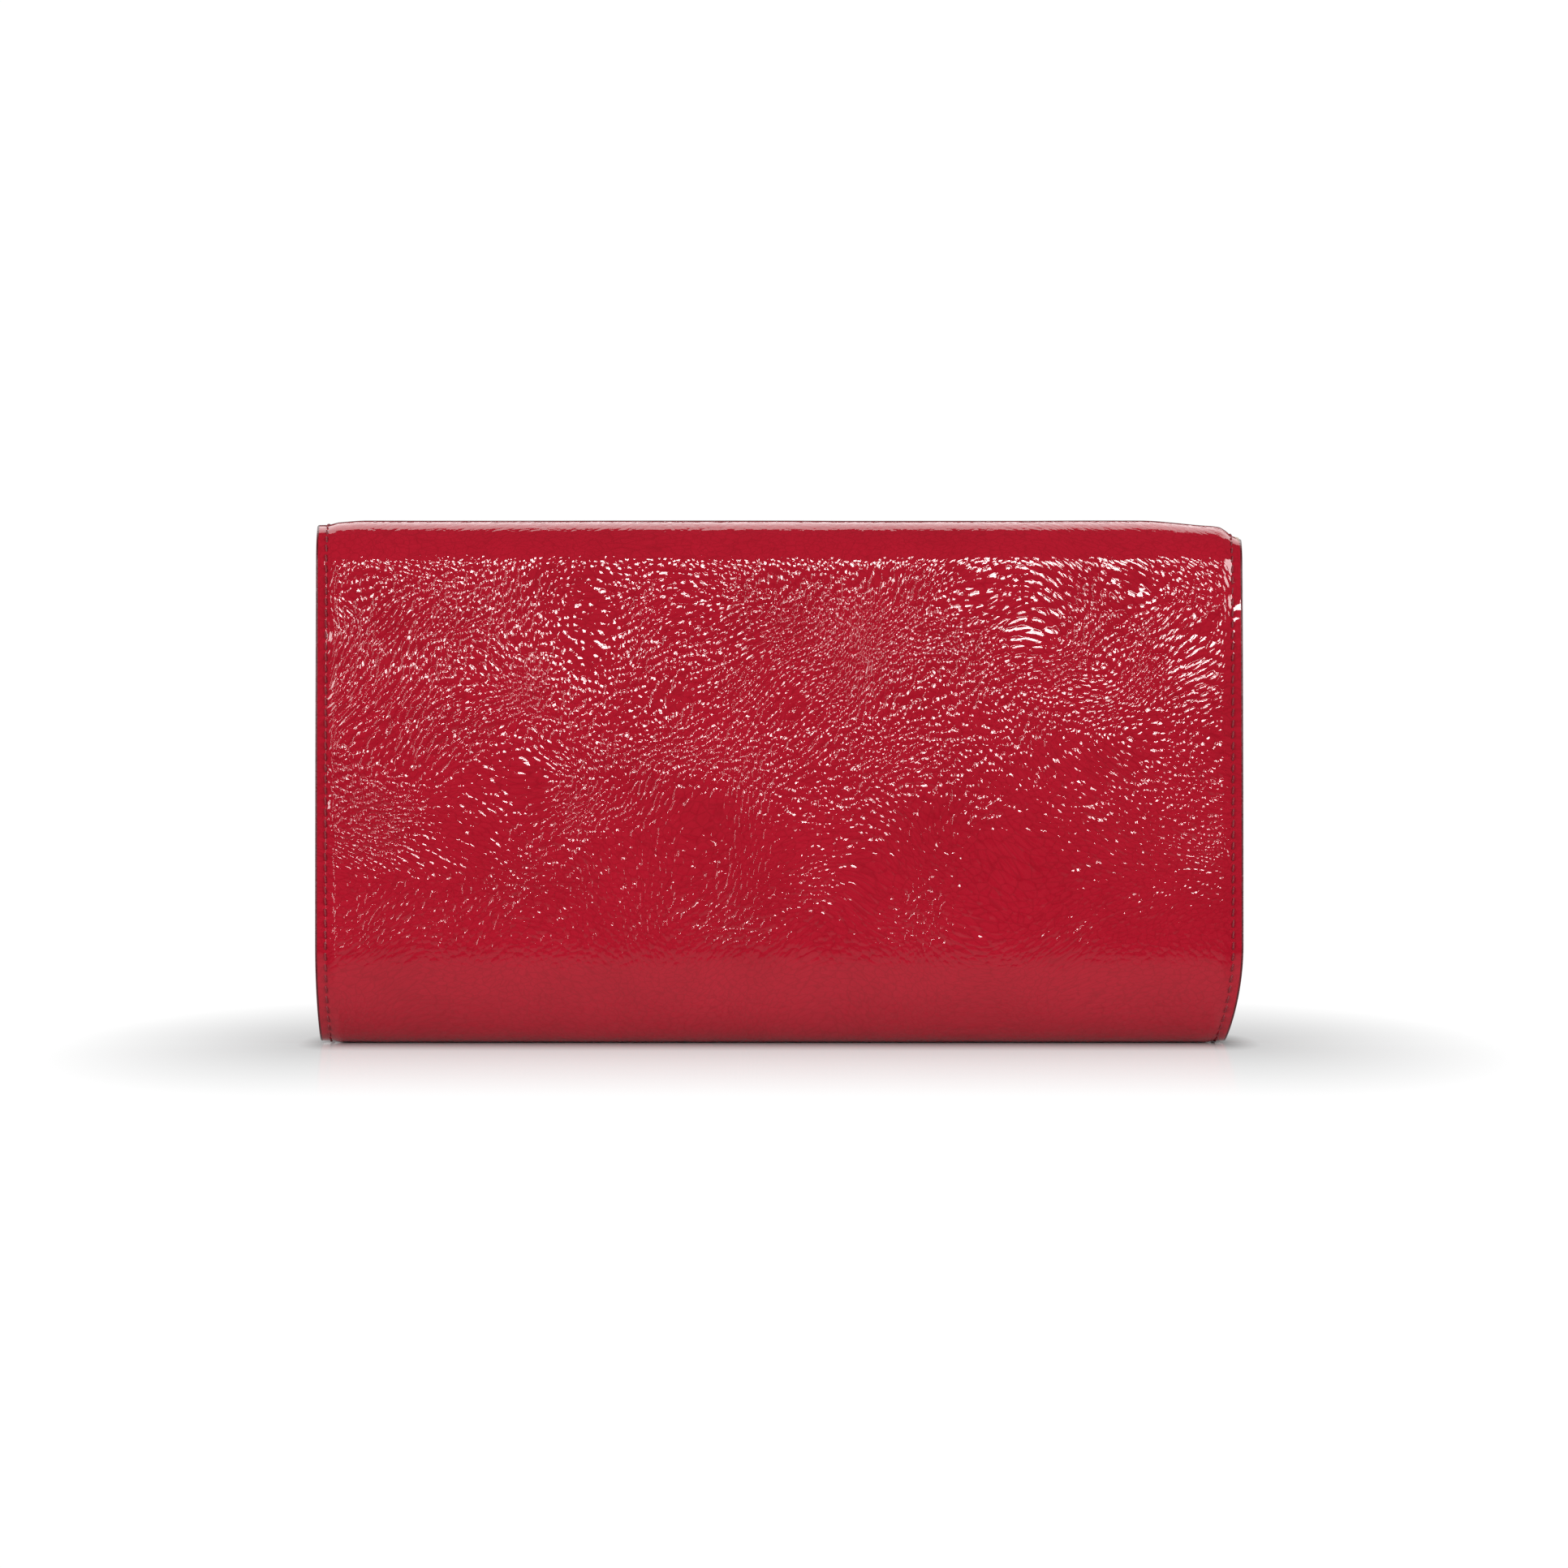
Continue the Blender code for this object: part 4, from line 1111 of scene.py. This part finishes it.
def rounded(profile, radius, steps=4):
    """The profile with each inner corner turned into a small arc."""
    made = [profile[0]]
    for before, corner, after in zip(profile, profile[1:], profile[2:]):
        corner = np.array(corner)
        to_before, to_after = np.array(before) - corner, np.array(after) - corner
        reach = min(radius, np.hypot(*to_before) * 0.45, np.hypot(*to_after) * 0.45)
        start = corner + to_before / np.hypot(*to_before) * reach
        end = corner + to_after / np.hypot(*to_after) * reach
        for t in np.linspace(0, 1, steps + 1):
            made.append(tuple((1 - t) ** 2 * start + 2 * t * (1 - t) * corner + t**2 * end))
    return made + [profile[-1]]


def turned(name, profile, base_y, toward, look, corner=0.18 * MM, steps=96):
    """A profile of (radius, height) turned round the snap's axis, with its heights towards +Y or -Y."""
    ring = profile[0][0] > 0
    if ring:
        profile = profile + [profile[0]]
    outline = rounded(profile, corner)
    if ring:
        outline = outline[:-1]
    bm = bmesh.new()
    verts = [bm.verts.new((radius, 0, height)) for radius, height in outline]
    edges = [bm.edges.new(pair) for pair in zip(verts, verts[1:])]
    if ring:
        edges.append(bm.edges.new((verts[-1], verts[0])))
    whole_turn = {"axis": (0, 0, 1), "angle": 2 * math.pi, "steps": steps, "use_merge": True}
    bmesh.ops.spin(bm, geom=verts + edges, cent=(0, 0, 0), **whole_turn)
    bmesh.ops.remove_doubles(bm, verts=bm.verts, dist=1e-7)
    bmesh.ops.recalc_face_normals(bm, faces=bm.faces)
    turn = Matrix.Translation((0, base_y, SNAP_Z)) @ Matrix.Rotation(-toward * math.pi / 2, 4, "X")
    bmesh.ops.transform(bm, matrix=turn, verts=bm.verts)
    mesh = bpy.data.meshes.new(name)
    bm.to_mesh(mesh)
    bm.free()
    mesh.materials.append(look)
    mesh.shade_smooth()
    mesh.set_sharp_from_angle(angle=math.radians(50))
    made = bpy.data.objects.new(name, mesh)
    bpy.context.scene.collection.objects.link(made)
    return made


def snap():
    wall_y = SOCKET_BOX[1].y - SOCKET_THICKNESS
    shank = wall_y - SOCKET_BOX[0].y
    floor = SOCKET_THICKNESS - 1.0 * MM
    lip = 0.25 * MM
    recess = SOCKET_THICKNESS - 2.4 * MM
    cup = [
        (0, recess), (RECESS_RADIUS, recess), (RECESS_RADIUS, floor),
        (MAGNET_RADIUS + 0.3 * MM, floor), (MAGNET_RADIUS + 0.3 * MM, SOCKET_THICKNESS),
        (SNAP_RADIUS - 0.5 * MM, SOCKET_THICKNESS), (SNAP_RADIUS, SOCKET_THICKNESS - 0.4 * MM),
        (SNAP_RADIUS, 0), (4.4 * MM, 0), (4.4 * MM, -shank), (0, -shank),
    ]
    socket = turned("snap_socket_cup", cup, wall_y, 1, GOLD)
    low, top = floor + 0.3 * MM, SOCKET_THICKNESS - 0.1 * MM
    ring = [(RECESS_RADIUS, low), (RECESS_RADIUS, top), (MAGNET_RADIUS, top), (MAGNET_RADIUS, low)]
    magnet = turned("snap_ring_magnet", ring, wall_y, 1, STEEL)
    flap_y = STUD_BOX[0].y + STUD_THICKNESS + POST_LENGTH
    stud_shank = STUD_BOX[1].y - flap_y
    plate = [
        (0, STUD_THICKNESS + POST_LENGTH), (POST_RADIUS * 0.8, STUD_THICKNESS + POST_LENGTH),
        (POST_RADIUS, STUD_THICKNESS), (SNAP_RADIUS - 2.2 * MM, STUD_THICKNESS),
        (SNAP_RADIUS - 2.0 * MM, STUD_THICKNESS - lip), (SNAP_RADIUS - 1.6 * MM, STUD_THICKNESS - lip),
        (SNAP_RADIUS - 1.4 * MM, STUD_THICKNESS), (SNAP_RADIUS - 0.4 * MM, STUD_THICKNESS),
        (SNAP_RADIUS, STUD_THICKNESS - 0.4 * MM), (SNAP_RADIUS, 0), (1.6 * MM, 0), (1.6 * MM, -stud_shank),
        (0, -stud_shank),
    ]
    stud = turned("snap_stud_plate", plate, flap_y, -1, GOLD)
    for piece, body, node, slot in [
        (socket, "front_wall", "snap_socket", "snap_metal"),
        (magnet, "front_wall", "snap_magnet", "magnet"),
        (stud, "flap_front", "snap_stud", "snap_metal"),
    ]:
        rigid(piece, body, node)


def carried_over():
    """The boards and rivet caps lie hidden between the leather and the linings, and keep their CAD shapes."""
    for name, look in [
        ("back_board", BOARD_FIBRE), ("base_board", BOARD_FIBRE), ("front_wall_board", BOARD_FIBRE),
        ("flap_front_board", BOARD_FIBRE), ("snap_socket_cap", GOLD), ("snap_stud_cap", GOLD),
    ]:
        mesh = frame["nodes"][name].data
        mesh.materials.clear()
        mesh.materials.append(look)


outer_leather()
linings()
slip_pocket()
for side, side_name in ((-1, "left"), (1, "right")):
    gusset(side, side_name)
stitching()
snap()
carried_over()

# ---- the studio --------------------------------------------------------------


FLOOR_SIZE = 14.0
FOOTPRINT = (0.118, 0.016, 0)
SIDE_HURRY = 5


def floor():
    half = FLOOR_SIZE / 2
    corners = [(-half, -half, 0), (half, -half, 0), (half, half, 0), (-half, half, 0)]
    made = mesh_object("floor", corners, [(0, 1, 2, 3)], (floor_look(),))
    made.location = (0, BASE_MID_Y, 0)


def floor_look():
    """A glossy white table near the object. Farther out it glows white to the camera, so that no horizon
    shows, and is dim in reflections, as a dark room round a lit table is. The glow comes sooner at the sides."""
    look = Look("studio_floor")
    place = look.node("ShaderNodeTexCoord", "Object")
    specks = look.noise(place, 60.0, 3.0)
    color = look.blend(specks, (0.84, 0.84, 0.845, 1), (0.86, 0.86, 0.865, 1))
    outside = look.vectors("SUBTRACT", look.vectors("ABSOLUTE", place), FOOTPRINT)
    outside = look.vectors("MULTIPLY", look.vectors("MAXIMUM", outside), (SIDE_HURRY, 1, 0))
    away = look.node("ShaderNodeVectorMath", "Value", {0: outside}, operation="LENGTH")
    # Painted contact shadow: the floor's colour darkens to grey close round the purse's footprint.
    color = look.blend(look.spread(away, 0.0, 0.045), (0.56, 0.54, 0.54, 1), color)
    near_glow = look.spread(away, 0.0, 0.06, 0.0, 0.50)
    glow = look.maths("ADD", near_glow, look.spread(away, 0.06, 0.40, 0.0, 0.50))
    look.set(color=color, rough=0.08, specular=0.50)
    camera_ray = look.node("ShaderNodeLightPath", "Is Camera Ray")
    other_ray = look.maths("SUBTRACT", 1.0, camera_ray)
    plain = look.maths("MULTIPLY", other_ray, look.spread(away, 0.0, 0.03))
    glow = look.maths("ADD", look.maths("MULTIPLY", camera_ray, glow), plain)
    to_room = look.maths("MULTIPLY", other_ray, look.spread(away, 0.08, 0.35, 0.46, 0.05))
    brightness = look.maths("ADD", look.maths("MULTIPLY", camera_ray, 1.03), to_room)
    emission = look.node("ShaderNodeEmission", 0, {"Color": (1, 1, 1, 1), "Strength": brightness})
    mixed = look.node("ShaderNodeMixShader", 0, {0: glow, 1: look.shader.outputs[0], 2: emission})
    look.feed(look.tree.nodes["Material Output"].inputs["Surface"], mixed)
    return look.material


def area_light(name, place, target, width, height, power):
    data = bpy.data.lights.new(name, "AREA")
    data.shape = "RECTANGLE"
    data.size = width
    data.size_y = height
    data.energy = power
    made = bpy.data.objects.new(name, data)
    made.location = place
    made.rotation_euler = (Vector(target) - Vector(place)).to_track_quat("-Z", "Y").to_euler()
    made.visible_camera = False
    bpy.context.scene.collection.objects.link(made)


def beam(azimuth, elevation, distance):
    """Where a light in front of the purse's back stands and points. Azimuth is towards +X, in degrees."""
    target = Vector((0, BACK_Y, 0.08))
    a, e = math.radians(azimuth), math.radians(elevation)
    out = Vector((math.sin(a) * math.cos(e), -math.cos(a) * math.cos(e), math.sin(e)))
    return target + out * distance, target


def world():
    """A dim studio round the object, and plain white where the camera looks past it."""
    made = bpy.data.worlds.new("studio")
    made.use_nodes = True
    tree = made.node_tree
    dim = tree.nodes["Background"]
    dim.inputs["Color"].default_value = (1, 1, 1, 1)
    dim.inputs["Strength"].default_value = 0.10
    white = tree.nodes.new("ShaderNodeBackground")
    white.inputs["Color"].default_value = (1, 1, 1, 1)
    white.inputs["Strength"].default_value = 1.02
    path = tree.nodes.new("ShaderNodeLightPath")
    mix = tree.nodes.new("ShaderNodeMixShader")
    tree.links.new(path.outputs["Is Camera Ray"], mix.inputs["Fac"])
    tree.links.new(dim.outputs[0], mix.inputs[1])
    tree.links.new(white.outputs[0], mix.inputs[2])
    tree.links.new(mix.outputs[0], tree.nodes["World Output"].inputs["Surface"])
    bpy.context.scene.world = made


CAMERA_DISTANCE = 2.6
CAMERA_HEIGHT = 0.085
SENSOR = 36
FRAME_WIDTH = 0.4229
FRAME_MIDDLE_Z = 0.0702
SIDE_SHIFT = 0.003


def camera():
    """Straight behind the purse, framing FRAME_WIDTH metres of the plane of its back."""
    data = bpy.data.cameras.new("camera")
    data.sensor_width = SENSOR
    data.lens = SENSOR * CAMERA_DISTANCE / FRAME_WIDTH
    data.shift_x = SIDE_SHIFT
    data.shift_y = (FRAME_MIDDLE_Z - CAMERA_HEIGHT) / FRAME_WIDTH
    made = bpy.data.objects.new("camera", data)
    made.location = (0, BACK_Y - CAMERA_DISTANCE, CAMERA_HEIGHT)
    made.rotation_euler = (math.pi / 2, 0, 0)
    bpy.context.scene.collection.objects.link(made)
    bpy.context.scene.camera = made


floor()
area_light("overhead_rear", (0, 1.25, 1.5), (0, 0, 0.1), 2.6, 1.5, 30)
for name, direction, width, height, power in [
    ("front_softbox", (6, 19, 1.4), 0.28, 0.16, 3.8),
    ("left_softbox", (-16, 16, 1.4), 0.12, 0.12, 1.1),
    ("left_strip", (-26, 4, 1.3), 0.07, 0.60, 1.0),
    ("left_fill", (-62, 14, 1.6), 0.8, 0.8, 23),
    ("right_fill", (62, 14, 1.6), 0.8, 0.8, 23),
]:
    area_light(name, *beam(*direction), width, height, power)
world()
camera()
bpy.context.scene.view_settings.view_transform = "Standard"
